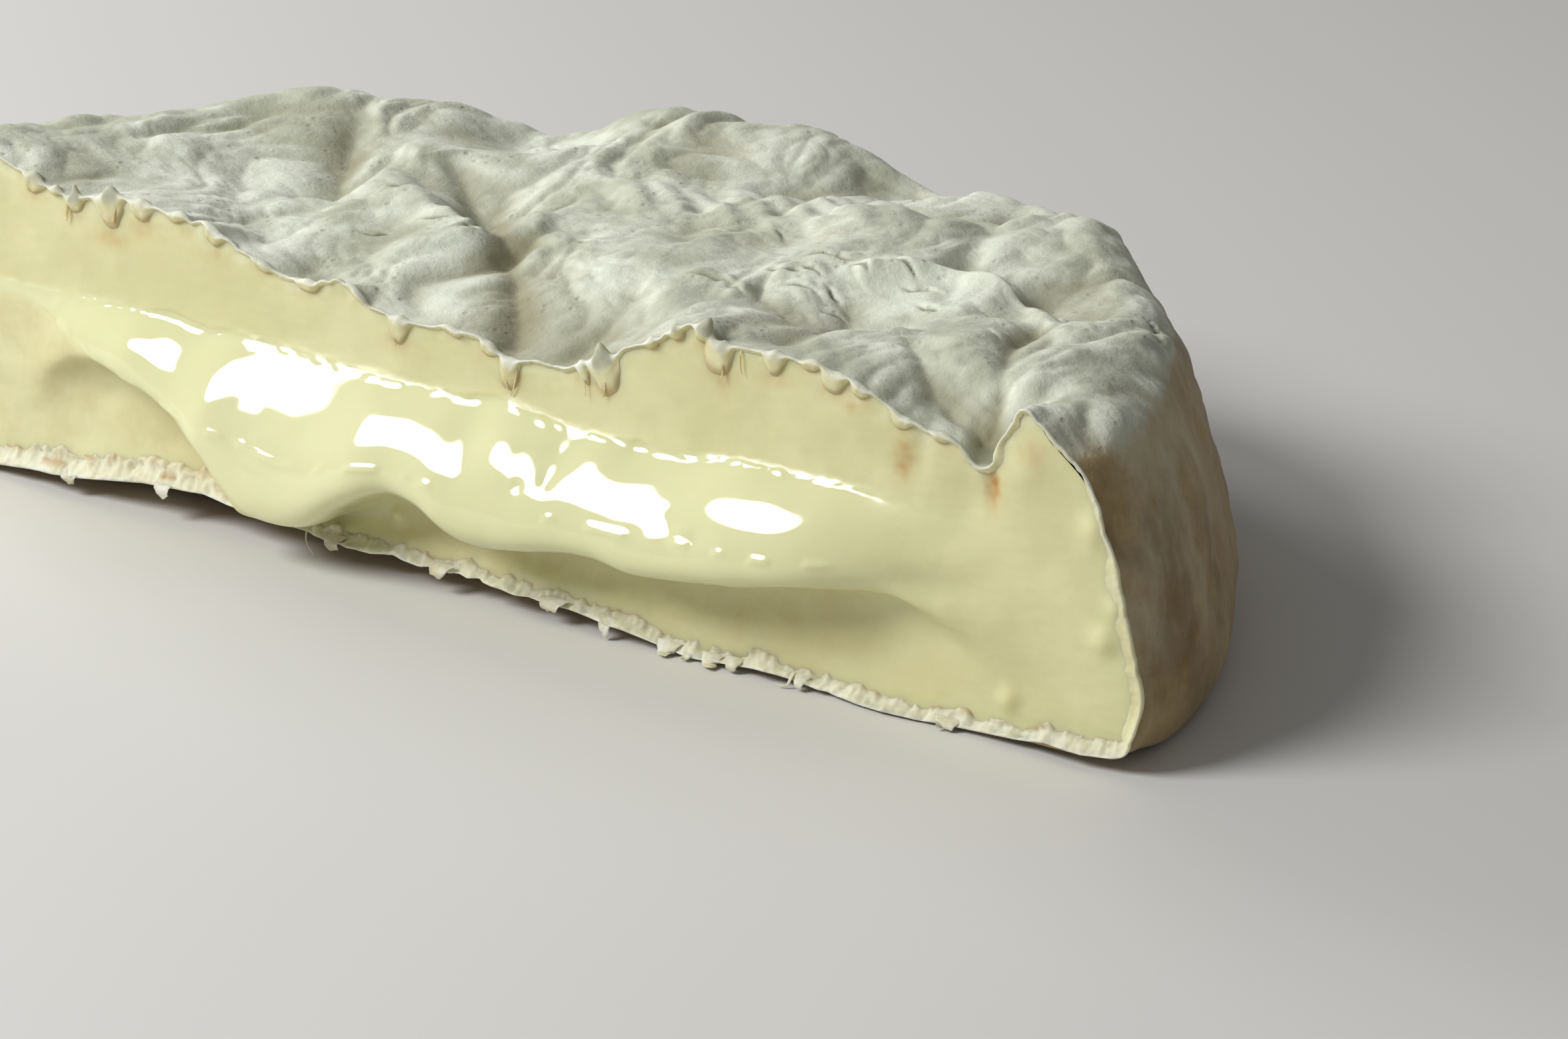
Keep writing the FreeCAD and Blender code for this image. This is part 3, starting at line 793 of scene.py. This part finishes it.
def build_shreds(middle, outline):
    """Flaps and threads that hang from the cut rind, as one piece."""
    ruffle = Noise(61)
    points, faces, held = [], [], []
    share = np.repeat(np.linspace(0, 1, SHRED_STEPS), SHRED_SIDES)
    for spot, high, length, half_width, lean, thickness in SHREDS:
        level = edge_height(outline, np.array([spot]), bool(high))[0] + (-0.25 if high else 0.25)
        root = np.array([spot, -CUT_OFFSET - 0.22 - 0.75 * (1 - high), level])
        flat = one_shred(root, length, half_width, lean, thickness, not high).reshape(-1, 3)
        worn = 0.16 * half_width ** 0.5 * share
        flat = flat + np.stack([worn * ruffle(flat + shift, 0.5) for shift in (0, 20, 40)], axis=1)
        flat[:, 2] = np.maximum(flat[:, 2], 0.03)
        index = len(points) * len(flat) + np.arange(len(flat)).reshape(SHRED_STEPS, SHRED_SIDES)
        points.append(flat)
        faces.append(grid_faces(np.concatenate([index, index[:, :1]], axis=1)))
        held.append(np.full(len(flat), float(high)))
    piece = make_mesh("rind_shreds", np.concatenate(points), np.concatenate(faces), middle)
    store(piece, upper_run=np.concatenate(held))
    return piece


# --- cut face ---
def lip_strength(x):
    """Share of the lip's full size: it dies out towards both ends of the cut."""
    end = RIM_RADIUS - LIP_END
    return smooth((end - x) / LIP_FADE) * smooth((end + x) / LIP_END)


def lip_lines(x):
    """Heights of the lip's upper line and lower edge."""
    return HEIGHT * line_value(LIP_TOP, x / RIM_RADIUS), HEIGHT * line_value(LIP_LOW, x / RIM_RADIUS)


def face_profile(x, top):
    """Poles of the cut face at every x, from the base up: distance out of the cut plane, and height."""
    lip_top, lip_low = lip_lines(x)
    deep = lip_top - lip_low
    strength = lip_strength(x) * smooth(deep / LIP_FULL_DEPTH)
    poles = [(0 * x, 0 * x), (0 * x, 0 * x + 1.0)]
    poles += [(out * HOLLOW_DEPTH * strength, rise * lip_low) for out, rise in HOLLOW_SECTION]
    poles += [(out * LIP_REACH * strength, lip_low + rise * deep) for out, rise in LIP_SECTION]
    poles += [(0 * x, lip_top + rise * (top - lip_top)) for rise in PASTE_LEVELS + [0.85, 1.0]]
    out = np.stack([pole[0] for pole in poles], axis=1)
    rise = np.stack([pole[1] for pole in poles], axis=1)
    even = np.linspace(0, 1, len(poles))[None, :] * top[:, None]
    rise = even + (rise - even) * smooth(2 * strength)[:, None]
    return out, rise


def spline_weights(poles, count):
    """How much each pole counts at each of count places along a clamped cubic B-spline."""
    return np.stack([spline(np.eye(poles)[:, [pole]], count)[:, 0] for pole in range(poles)], axis=1)


def build_paste(middle, outline):
    """The cut face as one grid that fills the rind's outline."""
    shares = np.linspace(0, 1, FACE_ROWS)
    left = outline_side(outline, -1, shares)
    right = outline_side(outline, 1, shares)
    across = np.linspace(0, 1, FACE_COLUMNS)
    x_low = left[0][0] + (right[0][0] - left[0][0]) * across
    x_high = left[-1][0] + (right[-1][0] - left[-1][0]) * across
    bottom = edge_height(outline, x_low, False)
    top = edge_height(outline, x_high, True)
    out, rise = face_profile(x_low * (1 - LIP_SHARE) + x_high * LIP_SHARE, top)
    weights = spline_weights(out.shape[1], FACE_ROWS)
    out = out @ weights.T
    rise = rise @ weights.T
    share = rise / top[:, None]
    level = rise + bottom[:, None] * smooth(1 - rise / CURL_HEIGHT)
    # the columns near both ends lean, so that the first and last follow the rind's flanks
    lean = np.abs(across * 2 - 1)[:, None] ** 8 * (1 - share ** 16)
    base_x = x_low[:, None] * (1 - share) + x_high[:, None] * share
    to_left = across[:, None] < 0.5
    flank_x = [np.interp(level, flank[:, 1], flank[:, 0]) for flank in (left, right)]
    side_x = np.where(to_left, *flank_x)
    low_end = np.where(to_left, x_low[0], x_low[-1])
    high_end = np.where(to_left, x_high[0], x_high[-1])
    end_x = low_end * (1 - share) + high_end * share
    points = np.stack([base_x + lean * (side_x - end_x), -CUT_OFFSET - out, level], axis=2)
    index = np.arange(FACE_COLUMNS * FACE_ROWS).reshape(FACE_COLUMNS, FACE_ROWS)
    points = points.reshape(-1, 3)
    piece = make_mesh("paste", points, grid_faces(index), middle)
    finish_paste(piece, middle, points)
    return piece


def outline_side(outline, side, shares):
    """(x, z) points of the outline's left (-1) or right (1) end, one for each share of the local height."""
    half = outline[outline[:, 0] * side > END_RUN]
    levels = np.linspace(half[:, 2].min(), half[:, 2].max() - END_DROP, END_LEVELS)
    reach = np.array([np.max(half[np.abs(half[:, 2] - level) < 0.35][:, 0] * side) for level in levels])
    reach = np.convolve(np.pad(reach, 1, mode="edge"), np.ones(3) / 3, mode="valid") - END_GAP
    level = levels[0] + shares * (levels[-1] - levels[0])
    return np.stack([side * np.interp(level, levels, reach), level], axis=1)


def edge_height(outline, x, upper):
    """Height of the outline's top or bottom edge at x, kept just inside the rind."""
    low = (outline[:, 2] <= BASE_UP_TO) & (np.abs(outline[:, 0]) < BASE_RUN)
    kept = outline[outline[:, 2] > UPPER_FROM if upper else low]
    values = np.full(len(EDGE_BINS) + 1, np.nan)
    np.fmax.at(values, np.digitize(kept[:, 0], EDGE_BINS), kept[:, 2])
    centres = np.concatenate([EDGE_BINS[:1], (EDGE_BINS[:-1] + EDGE_BINS[1:]) / 2, EDGE_BINS[-1:]])
    known = ~np.isnan(values)
    centres, values = centres[known], values[known]
    if upper:
        beside = np.pad(values, 1, mode="edge")
        values = np.minimum(np.minimum(beside[:-2], beside[2:]), values)
    return np.interp(x, centres, values) + (-EDGE_GAP if upper else EDGE_GAP)


def gauss_spots(x, z, table):
    """The sum of soft round spots, each given as place, height, half width, half height, size."""
    total = np.zeros(len(x))
    for spot_x, spot_z, half_x, half_z, size in table:
        total += size * np.exp(-((x - spot_x) / half_x) ** 2 - ((z - spot_z) / half_z) ** 2)
    return total


def finish_paste(piece, middle, points):
    """Small relief of the cut face, and what its material reads."""
    x, z = points[:, 0], points[:, 2]
    wave, fleck, drag = Noise(41), Noise(42), Noise(43)
    lip_top, lip_low = lip_lines(x)
    strength = lip_strength(x)
    flat = points * (1, 0.6, 1)
    along = points * (1, 0, 0)
    ragged = layered(wave, along, LIP_LINE_WAVES)
    wet = strength * between(lip_top + ragged + 0.55, lip_top + ragged - 0.05, z)
    wet *= between(lip_low - 0.6, lip_low + 0.8, z)
    under = strength * between(lip_low + 0.8, lip_low - 0.6, z)
    firm = 1 - np.maximum(wet, under)
    relief = wet * (layered(wave, flat, WET_WAVES) + gauss_spots(x, z, LIP_SWELLS))
    for line in RIPPLES:
        ends = between(line[0][0], line[0][0] + 2, x) * between(line[-1][0], line[-1][0] - 2, x)
        broken = between(-0.15, 0.35, wave(along + 33, 2.6))
        relief += wet * ends * broken * 0.20 * np.exp(-((z - line_value(line, x)) / 0.36) ** 2)
    bead = np.exp(-((z - lip_top - ragged) / 0.30) ** 2)
    relief += strength * bead * 0.10 * (0.5 + wave(along + 66, 1.3))
    relief += firm * (layered(wave, flat, FIRM_WAVES) + layered(drag, flat, KNIFE_DRAG))
    relief += under * layered(wave, flat, RECESS_WAVES) - gauss_spots(x, z, DENTS)
    near_rind = firm * between(2.6, 0.6, HEIGHT + line_value(CUT_EDGE, x / RIM_RADIUS) - z)
    relief += near_rind * 0.10 * (wave(flat + 55, 1.2) - 0.3)
    brown = np.clip(gauss_spots(x, z, SPOTS) * (0.75 + 0.6 * fleck(flat, 0.7)), 0, 1)
    for spot, drop, half, rise in NUBS:
        level = HEIGHT + line_value(CUT_EDGE, np.array([spot / RIM_RADIUS]))[0] - drop
        halo = np.exp(-(((x - spot) / (half + 0.45)) ** 2) - (((z - level) / 0.9) ** 2))
        brown = np.maximum(brown, 0.50 * min(1.0, drop / 2.4) * halo * (0.7 + 0.5 * fleck(flat + 5, 0.8)))
    move_points(piece, points + normals_of(piece) * relief[:, None], middle)
    store(piece, wet=wet, under=under, brown=np.clip(brown, 0, 1), near_rind=near_rind)


# --- materials ---
def srgb(red, green, blue):
    """A colour given as 8-bit display values."""
    def linear(value):
        value /= 255
        return value / 12.92 if value <= 0.04045 else ((value + 0.055) / 1.055) ** 2.4
    return (linear(red), linear(green), linear(blue), 1.0)


def new_material(name, **constants):
    """A material with its wiring and shader; constants bear the shader's own names, with _ for a space."""
    material = bpy.data.materials.new(name)
    material.use_nodes = True
    shader = material.node_tree.nodes["Principled BSDF"]
    for label, value in constants.items():
        shader.inputs[label.replace("_", " ")].default_value = value
    return material, Wiring(material.node_tree), shader


class Wiring:
    """Short ways to add and join the nodes of one tree."""

    def __init__(self, tree):
        self.tree = tree

    def node(self, kind, **settings):
        made = self.tree.nodes.new("ShaderNode" + kind)
        for name, value in settings.items():
            setattr(made, name, value)
        return made

    def join(self, source, target):
        self.tree.links.new(source, target)

    def feed(self, node, inputs):
        """Gives inputs, by name or number, a value or another node's output; puts out the node's outputs."""
        for key, value in inputs.items():
            if isinstance(value, bpy.types.NodeSocket):
                self.join(value, node.inputs[key])
            else:
                node.inputs[key].default_value = value
        return node.outputs

    def attribute(self, name):
        return self.node("Attribute", attribute_name=name).outputs["Fac"]

    def place(self):
        return self.node("TexCoord").outputs["Object"]

    def noise(self, scale, detail=3.0, roughness=0.5, place=None, distortion=0.0):
        inputs = {"Scale": scale, "Detail": detail, "Roughness": roughness, "Distortion": distortion}
        inputs["Vector"] = place or self.place()
        return self.feed(self.node("TexNoise"), inputs)["Fac"]

    def math(self, kind, first, second, clamp=False):
        return self.feed(self.node("Math", operation=kind, use_clamp=clamp), {0: first, 1: second})[0]

    def times(self, first, second, clamp=False):
        return self.math("MULTIPLY", first, second, clamp)

    def plus(self, first, second):
        return self.math("ADD", first, second)

    def ramp(self, value, low, high, to_low=0.0, to_high=1.0):
        inputs = {"Value": value, "From Min": low, "From Max": high, "To Min": to_low, "To Max": to_high}
        return self.feed(self.node("MapRange", interpolation_type="SMOOTHSTEP"), inputs)["Result"]

    def mix(self, share, first, second):
        """The first colour turning into the second as the share goes from 0 to 1."""
        made = self.node("Mix", data_type="RGBA")
        return self.feed(made, {0: share, 6: first, 7: second})[2]  # the sockets that mix colours

    def group(self, shared, **values):
        """Places a shared effect with its own values."""
        return self.feed(self.node("Group", node_tree=shared), values)

    def bump(self, height, strength, distance):
        inputs = {"Height": height, "Strength": strength, "Distance": distance}
        return self.feed(self.node("Bump"), inputs)["Normal"]


def new_group(name, inputs, outputs):
    """An empty shared effect with named inputs (name, kind, value) and outputs (name, kind)."""
    tree = bpy.data.node_groups.new(name, "ShaderNodeTree")
    for label, kind, value in inputs:
        socket = tree.interface.new_socket(name=label, in_out="INPUT", socket_type="NodeSocket" + kind)
        socket.default_value = value
    for label, kind in outputs:
        tree.interface.new_socket(name=label, in_out="OUTPUT", socket_type="NodeSocket" + kind)
    wire = Wiring(tree)
    return tree, wire, tree.nodes.new("NodeGroupInput").outputs, tree.nodes.new("NodeGroupOutput").inputs


def mottle_group():
    """Soft uneven colouring: broad clouds with smaller ones inside them."""
    tree, wire, given, out = new_group("mottle", [
        ("Ground", "Color", (1, 1, 1, 1)), ("Clouds", "Color", (1, 1, 1, 1)),
        ("Scale", "Float", 120.0), ("Amount", "Float", 0.5),
    ], [("Color", "Color")])
    broad = wire.noise(given["Scale"], 2.0, 0.5)
    small = wire.noise(wire.times(given["Scale"], 4.3), 4.0, 0.6)
    cloud = wire.plus(wire.times(broad, 0.65), wire.times(small, 0.35))
    mask = wire.times(wire.ramp(cloud, 0.38, 0.62), given["Amount"])
    wire.join(wire.mix(mask, given["Ground"], given["Clouds"]), out["Color"])
    return tree


def bloom_grain_group():
    """Height and shading of white mould: felted down with fine pores."""
    tree, wire, given, out = new_group("bloom_grain", [
        ("Scale", "Float", 900.0), ("Pores", "Float", 0.5),
    ], [("Height", "Float"), ("Shade", "Float")])
    felt = wire.noise(given["Scale"], 5.0, 0.65, distortion=0.4)
    cells = {"Vector": wire.place(), "Scale": wire.times(given["Scale"], 0.55)}
    apart = wire.feed(wire.node("TexVoronoi", feature="F1"), cells)["Distance"]
    pores = wire.times(wire.ramp(apart, 0.28, 0.08), given["Pores"])
    pores = wire.times(pores, wire.ramp(wire.noise(wire.times(given["Scale"], 0.10), 2.0), 0.50, 0.62))
    wire.join(wire.math("SUBTRACT", felt, pores), out["Height"])
    wire.join(pores, out["Shade"])
    return tree


# Uneven colours: ground and clouds as 8-bit display values, scale of the clouds, their greatest share.
MOTTLES = {
    "bloom": ((229, 233, 216), (176, 180, 157), 80.0, 0.85),
    # side: the rind's tan, partly its own colour and partly painted shade
    "side": ((170, 145, 97), (132, 107, 64), 90.0, 0.9),
    "firm": ((226, 222, 174), (213, 209, 157), 60.0, 0.8),
    "runny": ((229, 228, 183), (222, 222, 175), 45.0, 0.8),
    "recess_shade": ((222, 218, 170), (212, 204, 154), 110.0, 0.9),
    "pith": ((225, 220, 178), (214, 205, 158), 260.0, 0.8),
    "torn_bloom": ((228, 229, 212), (204, 202, 178), 300.0, 0.7),
    "base_shred": ((230, 229, 208), (206, 196, 158), 420.0, 0.9),
    "upper_shred": ((222, 208, 158), (172, 140, 86), 500.0, 0.9),
}
# Plain colours, as 8-bit display values.
HOLLOW_BEIGE_AND_SHADE = (156, 153, 124)
SIDE_DUST = (200, 194, 166)
CRACK = (104, 98, 74)
PORE_SHADE = (150, 146, 122)
PALE_FLECK = (236, 232, 200)
BROWNED = (194, 145, 78)
NUB_TIP = (150, 152, 130)
RIND_STAIN_AND_SHADE = (176, 140, 84)
FLOOR_GREY = (214, 213, 210)


def mottled(wire, mottle, name):
    """One of the uneven colours."""
    ground, clouds, scale, amount = MOTTLES[name]
    return wire.group(mottle, Ground=srgb(*ground), Clouds=srgb(*clouds), Scale=scale, Amount=amount)["Color"]


def add_grain(wire, shader, bloom_grain, scale, pores, strength, depth):
    """Gives the surface its felted grain and puts out where its pores are."""
    grain = wire.group(bloom_grain, Scale=scale, Pores=pores)
    wire.join(wire.bump(grain["Height"], strength, depth), shader.inputs["Normal"])
    return grain["Shade"]


def rind_material(mottle, bloom_grain):
    """White bloom on top, dusted tan on the side, partly painted shade; darker hollows, partly beige and
    partly painted shade; dark cracks.
    """
    material, wire, shader = new_material(
        "bloomy_rind", Specular_IOR_Level=0.35, Sheen_Weight=0.18, Sheen_Roughness=0.45,
        Subsurface_Weight=0.12, Subsurface_Radius=(1.0, 0.9, 0.7), Subsurface_Scale=0.0009,
    )
    # hollows darker greyish beige: partly the rind's own beige, partly painted shade
    patch = wire.ramp(wire.noise(70.0, 3.0, 0.6), 0.42, 0.58, 0.55, 1.0)
    hollow_beige_and_shade = wire.times(wire.attribute("hollow"), patch, True)
    white = wire.mix(hollow_beige_and_shade, mottled(wire, mottle, "bloom"), srgb(*HOLLOW_BEIGE_AND_SHADE))
    # tan side, partly painted shade, with white dusting
    upright = wire.feed(wire.node("Mapping"), {"Vector": wire.place(), "Scale": (1.0, 1.0, 0.45)})["Vector"]
    patches = wire.noise(75.0, 5.0, 0.62, upright)
    patches = wire.plus(patches, wire.times(wire.attribute("side_rise"), 0.08))
    tan_and_shade = wire.mix(wire.ramp(patches, 0.50, 0.72, 0.0, 0.62), mottled(wire, mottle, "side"), srgb(*SIDE_DUST))
    ragged = wire.times(wire.math("SUBTRACT", wire.noise(160.0, 7.0, 0.70), 0.5), 1.9)
    top = wire.ramp(wire.plus(wire.attribute("top_zone"), ragged), 0.14, 0.90)
    colour = wire.mix(top, tan_and_shade, white)
    colour = wire.mix(wire.ramp(wire.attribute("chapped"), 0.25, 0.85, 0.0, 0.7), colour, srgb(*CRACK))
    pores = add_grain(wire, shader, bloom_grain, 1300.0, 0.55, 0.55, 0.00028)
    # the pores are darkened with painted shade
    wire.join(wire.mix(wire.times(pores, 0.55), colour, srgb(*PORE_SHADE)), shader.inputs["Base Color"])
    wire.join(wire.ramp(top, 0.0, 1.0, 0.62, 0.86), shader.inputs["Roughness"])
    return material


def paste_material(mottle):
    """Firm and matt by the rind, wet and glossy on the running lip, duller and with painted shade in the
    hollow under it.
    """
    material, wire, shader = new_material(
        "ripe_paste", Specular_IOR_Level=0.5, Subsurface_Weight=0.5, Subsurface_Radius=(1.0, 0.8, 0.42),
        Subsurface_Scale=0.0028,
    )
    wet = wire.attribute("wet")
    under = wire.attribute("under")
    colour = wire.mix(wet, mottled(wire, mottle, "firm"), mottled(wire, mottle, "runny"))
    # slightly darker, warmer cream in the hollow under the lip: painted shade
    colour = wire.mix(under, colour, mottled(wire, mottle, "recess_shade"))
    pale = wire.times(wire.attribute("near_rind"), wire.ramp(wire.noise(420.0, 3.0), 0.42, 0.62), True)
    colour = wire.mix(wire.times(pale, 0.45), colour, srgb(*PALE_FLECK))
    wire.join(wire.mix(wire.attribute("brown"), colour, srgb(*BROWNED)), shader.inputs["Base Color"])
    matt = wire.ramp(wire.noise(500.0, 4.0, 0.6), 0.35, 0.7, 0.34, 0.50)
    rough = wire.plus(wire.ramp(wet, 0.15, 0.85, matt, 0.075), wire.times(under, 0.12))
    wire.join(rough, shader.inputs["Roughness"])
    fine = wire.times(wire.noise(900.0, 4.0, 0.6), wire.ramp(wet, 0.0, 0.8, 1.0, 0.0))
    wire.join(wire.bump(fine, 0.35, 0.00012), shader.inputs["Normal"])
    return material


def section_material(mottle, bloom_grain):
    """Cut and torn rind: bloom outside, pith inside, brown at the nubs and in specks on the thick base,
    painted shade along the base's inner edge.
    """
    material, wire, shader = new_material(
        "torn_rind", Roughness=0.6, Subsurface_Weight=0.4, Subsurface_Radius=(1.0, 0.85, 0.55),
        Subsurface_Scale=0.0015,
    )
    outer = wire.plus(wire.attribute("inner"), wire.times(wire.noise(600.0, 3.0), 0.5))
    outer = wire.times(wire.ramp(outer, 0.62, 0.30), wire.ramp(wire.attribute("flank"), 0.0, 1.0, 1.0, 0.25))
    white = wire.math("MAXIMUM", outer, wire.times(wire.attribute("base_run"), 0.65))
    colour = wire.mix(white, mottled(wire, mottle, "pith"), mottled(wire, mottle, "torn_bloom"))
    colour = wire.mix(wire.times(wire.attribute("tip"), 0.8), colour, srgb(*NUB_TIP))
    # brown at the nubs and painted shade along the base's inner edge
    colour = wire.mix(wire.times(wire.attribute("stain"), 0.75), colour, srgb(*RIND_STAIN_AND_SHADE))
    wire.join(colour, shader.inputs["Base Color"])
    add_grain(wire, shader, bloom_grain, 1700.0, 0.3, 0.5, 0.00018)
    return material


def shred_material(mottle, bloom_grain):
    """White flaps on the base, browned threads on the upper edge."""
    material, wire, shader = new_material(
        "rind_shred", Roughness=0.55, Subsurface_Weight=0.4, Subsurface_Radius=(1.0, 0.85, 0.55),
        Subsurface_Scale=0.001,
    )
    base = mottled(wire, mottle, "base_shred")
    upper = mottled(wire, mottle, "upper_shred")
    wire.join(wire.mix(wire.attribute("upper_run"), base, upper), shader.inputs["Base Color"])
    add_grain(wire, shader, bloom_grain, 2000.0, 0.2, 0.4, 0.00012)
    return material


# --- stage ---
CAMERA_TURN = math.radians(32.4)  # from straight in front of the cut, towards its right-hand end
CAMERA_RISE = math.radians(20.7)
CAMERA_ROLL = math.radians(1.0)
CAMERA_DISTANCE = 350.0
CAMERA_LENS = 89.9
LOOK_AT = np.array([23.1, 17.4, 5.3])  # round the wheel's middle
# Lamps: name, turn and rise in degrees as for the camera, distance, width, height (metres), watts.
SOFTBOXES = [
    ("key_softbox", -38, 40, 0.75, 0.36, 0.34, 5.0),
    ("side_softbox", -104, 24, 0.80, 0.34, 0.22, 2.2),
]
LAMP_TARGET = Vector((0, 0, 0.012))
STUDIO_WHITE = (1.0, 0.99, 0.96, 1.0)
STUDIO_STRENGTH = 0.20
FLOOR_HALF = 1.5  # metres
FLOOR_DROP = 0.0002


def direction(turn, rise):
    return np.array([math.sin(turn) * math.cos(rise), -math.cos(turn) * math.cos(rise), math.sin(rise)])


def place_camera(middle):
    back = direction(CAMERA_TURN, CAMERA_RISE)
    right = np.cross(-back, (0, 0, 1))
    right /= np.linalg.norm(right)
    up = np.cross(right, -back)
    turned_right = math.cos(CAMERA_ROLL) * right + math.sin(CAMERA_ROLL) * up
    turned_up = -math.sin(CAMERA_ROLL) * right + math.cos(CAMERA_ROLL) * up
    spot = (LOOK_AT + middle + back * CAMERA_DISTANCE) * MM
    data = bpy.data.cameras.new("camera")
    data.lens = CAMERA_LENS
    data.sensor_width = 36.0
    data.clip_start = 0.01
    camera = add_object("camera", data)
    turn = Matrix((turned_right, turned_up, back)).transposed()
    camera.matrix_world = Matrix.Translation(spot) @ turn.to_4x4()
    bpy.context.scene.camera = camera


def softbox(name, turn, rise, distance, width, height, power):
    data = bpy.data.lights.new(name, "AREA")
    data.shape = "ELLIPSE"
    data.size = width
    data.size_y = height
    data.energy = power
    lamp = add_object(name, data)
    away = Vector(direction(math.radians(turn), math.radians(rise)) * distance)
    lamp.location = away + LAMP_TARGET
    lamp.rotation_euler = (-away).to_track_quat("-Z", "Y").to_euler()


def build_stage():
    mesh = bpy.data.meshes.new("floor")
    corners = [(x * FLOOR_HALF, y * FLOOR_HALF, 0) for x, y in ((-1, -1), (1, -1), (1, 1), (-1, 1))]
    mesh.from_pydata(corners, [], [(0, 1, 2, 3)])
    floor = add_object("floor", mesh)
    floor.location.z = -FLOOR_DROP
    material, _, shader = new_material("pale_floor", Roughness=0.7)
    shader.inputs["Base Color"].default_value = srgb(*FLOOR_GREY)
    mesh.materials.append(material)
    for lamp in SOFTBOXES:
        softbox(*lamp)
    world = bpy.data.worlds.new("studio")
    world.use_nodes = True
    background = world.node_tree.nodes["Background"]
    background.inputs["Color"].default_value = STUDIO_WHITE
    background.inputs["Strength"].default_value = STUDIO_STRENGTH
    bpy.context.scene.world = world
    bpy.context.scene.view_settings.view_transform = "Standard"


def wheel_middle():
    """Where the wheel's middle lies in the frame, from the solid's box and the plain shape's own reach."""
    turns = np.linspace(0, 2 * math.pi, 1441)
    reach = lobe(turns) * BELLY_RADIUS
    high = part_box(NODE)[1]
    widest = side_rows(400)[0].max() / BELLY_RADIUS
    x_reach = (reach * np.cos(turns)).max() * widest
    y_reach = (reach * np.sin(turns)).max() * widest
    return np.array([high.x / MM - x_reach, high.y / MM - y_reach, 0.0])


middle = wheel_middle()
place_camera(middle)
build_stage()
rind = build_rind(middle)
outline = cut_outline(rind, middle)
paste = build_paste(middle, outline)
section = build_section(middle, outline)
shreds = build_shreds(middle, outline)

mottle = mottle_group()
bloom_grain = bloom_grain_group()
dressed = (
    (rind, rind_material(mottle, bloom_grain)),
    (paste, paste_material(mottle)),
    (section, section_material(mottle, bloom_grain)),
    (shreds, shred_material(mottle, bloom_grain)),
)
for piece, material in dressed:
    piece.data.materials.append(material)
    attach(piece, BODY)
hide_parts(NODE)
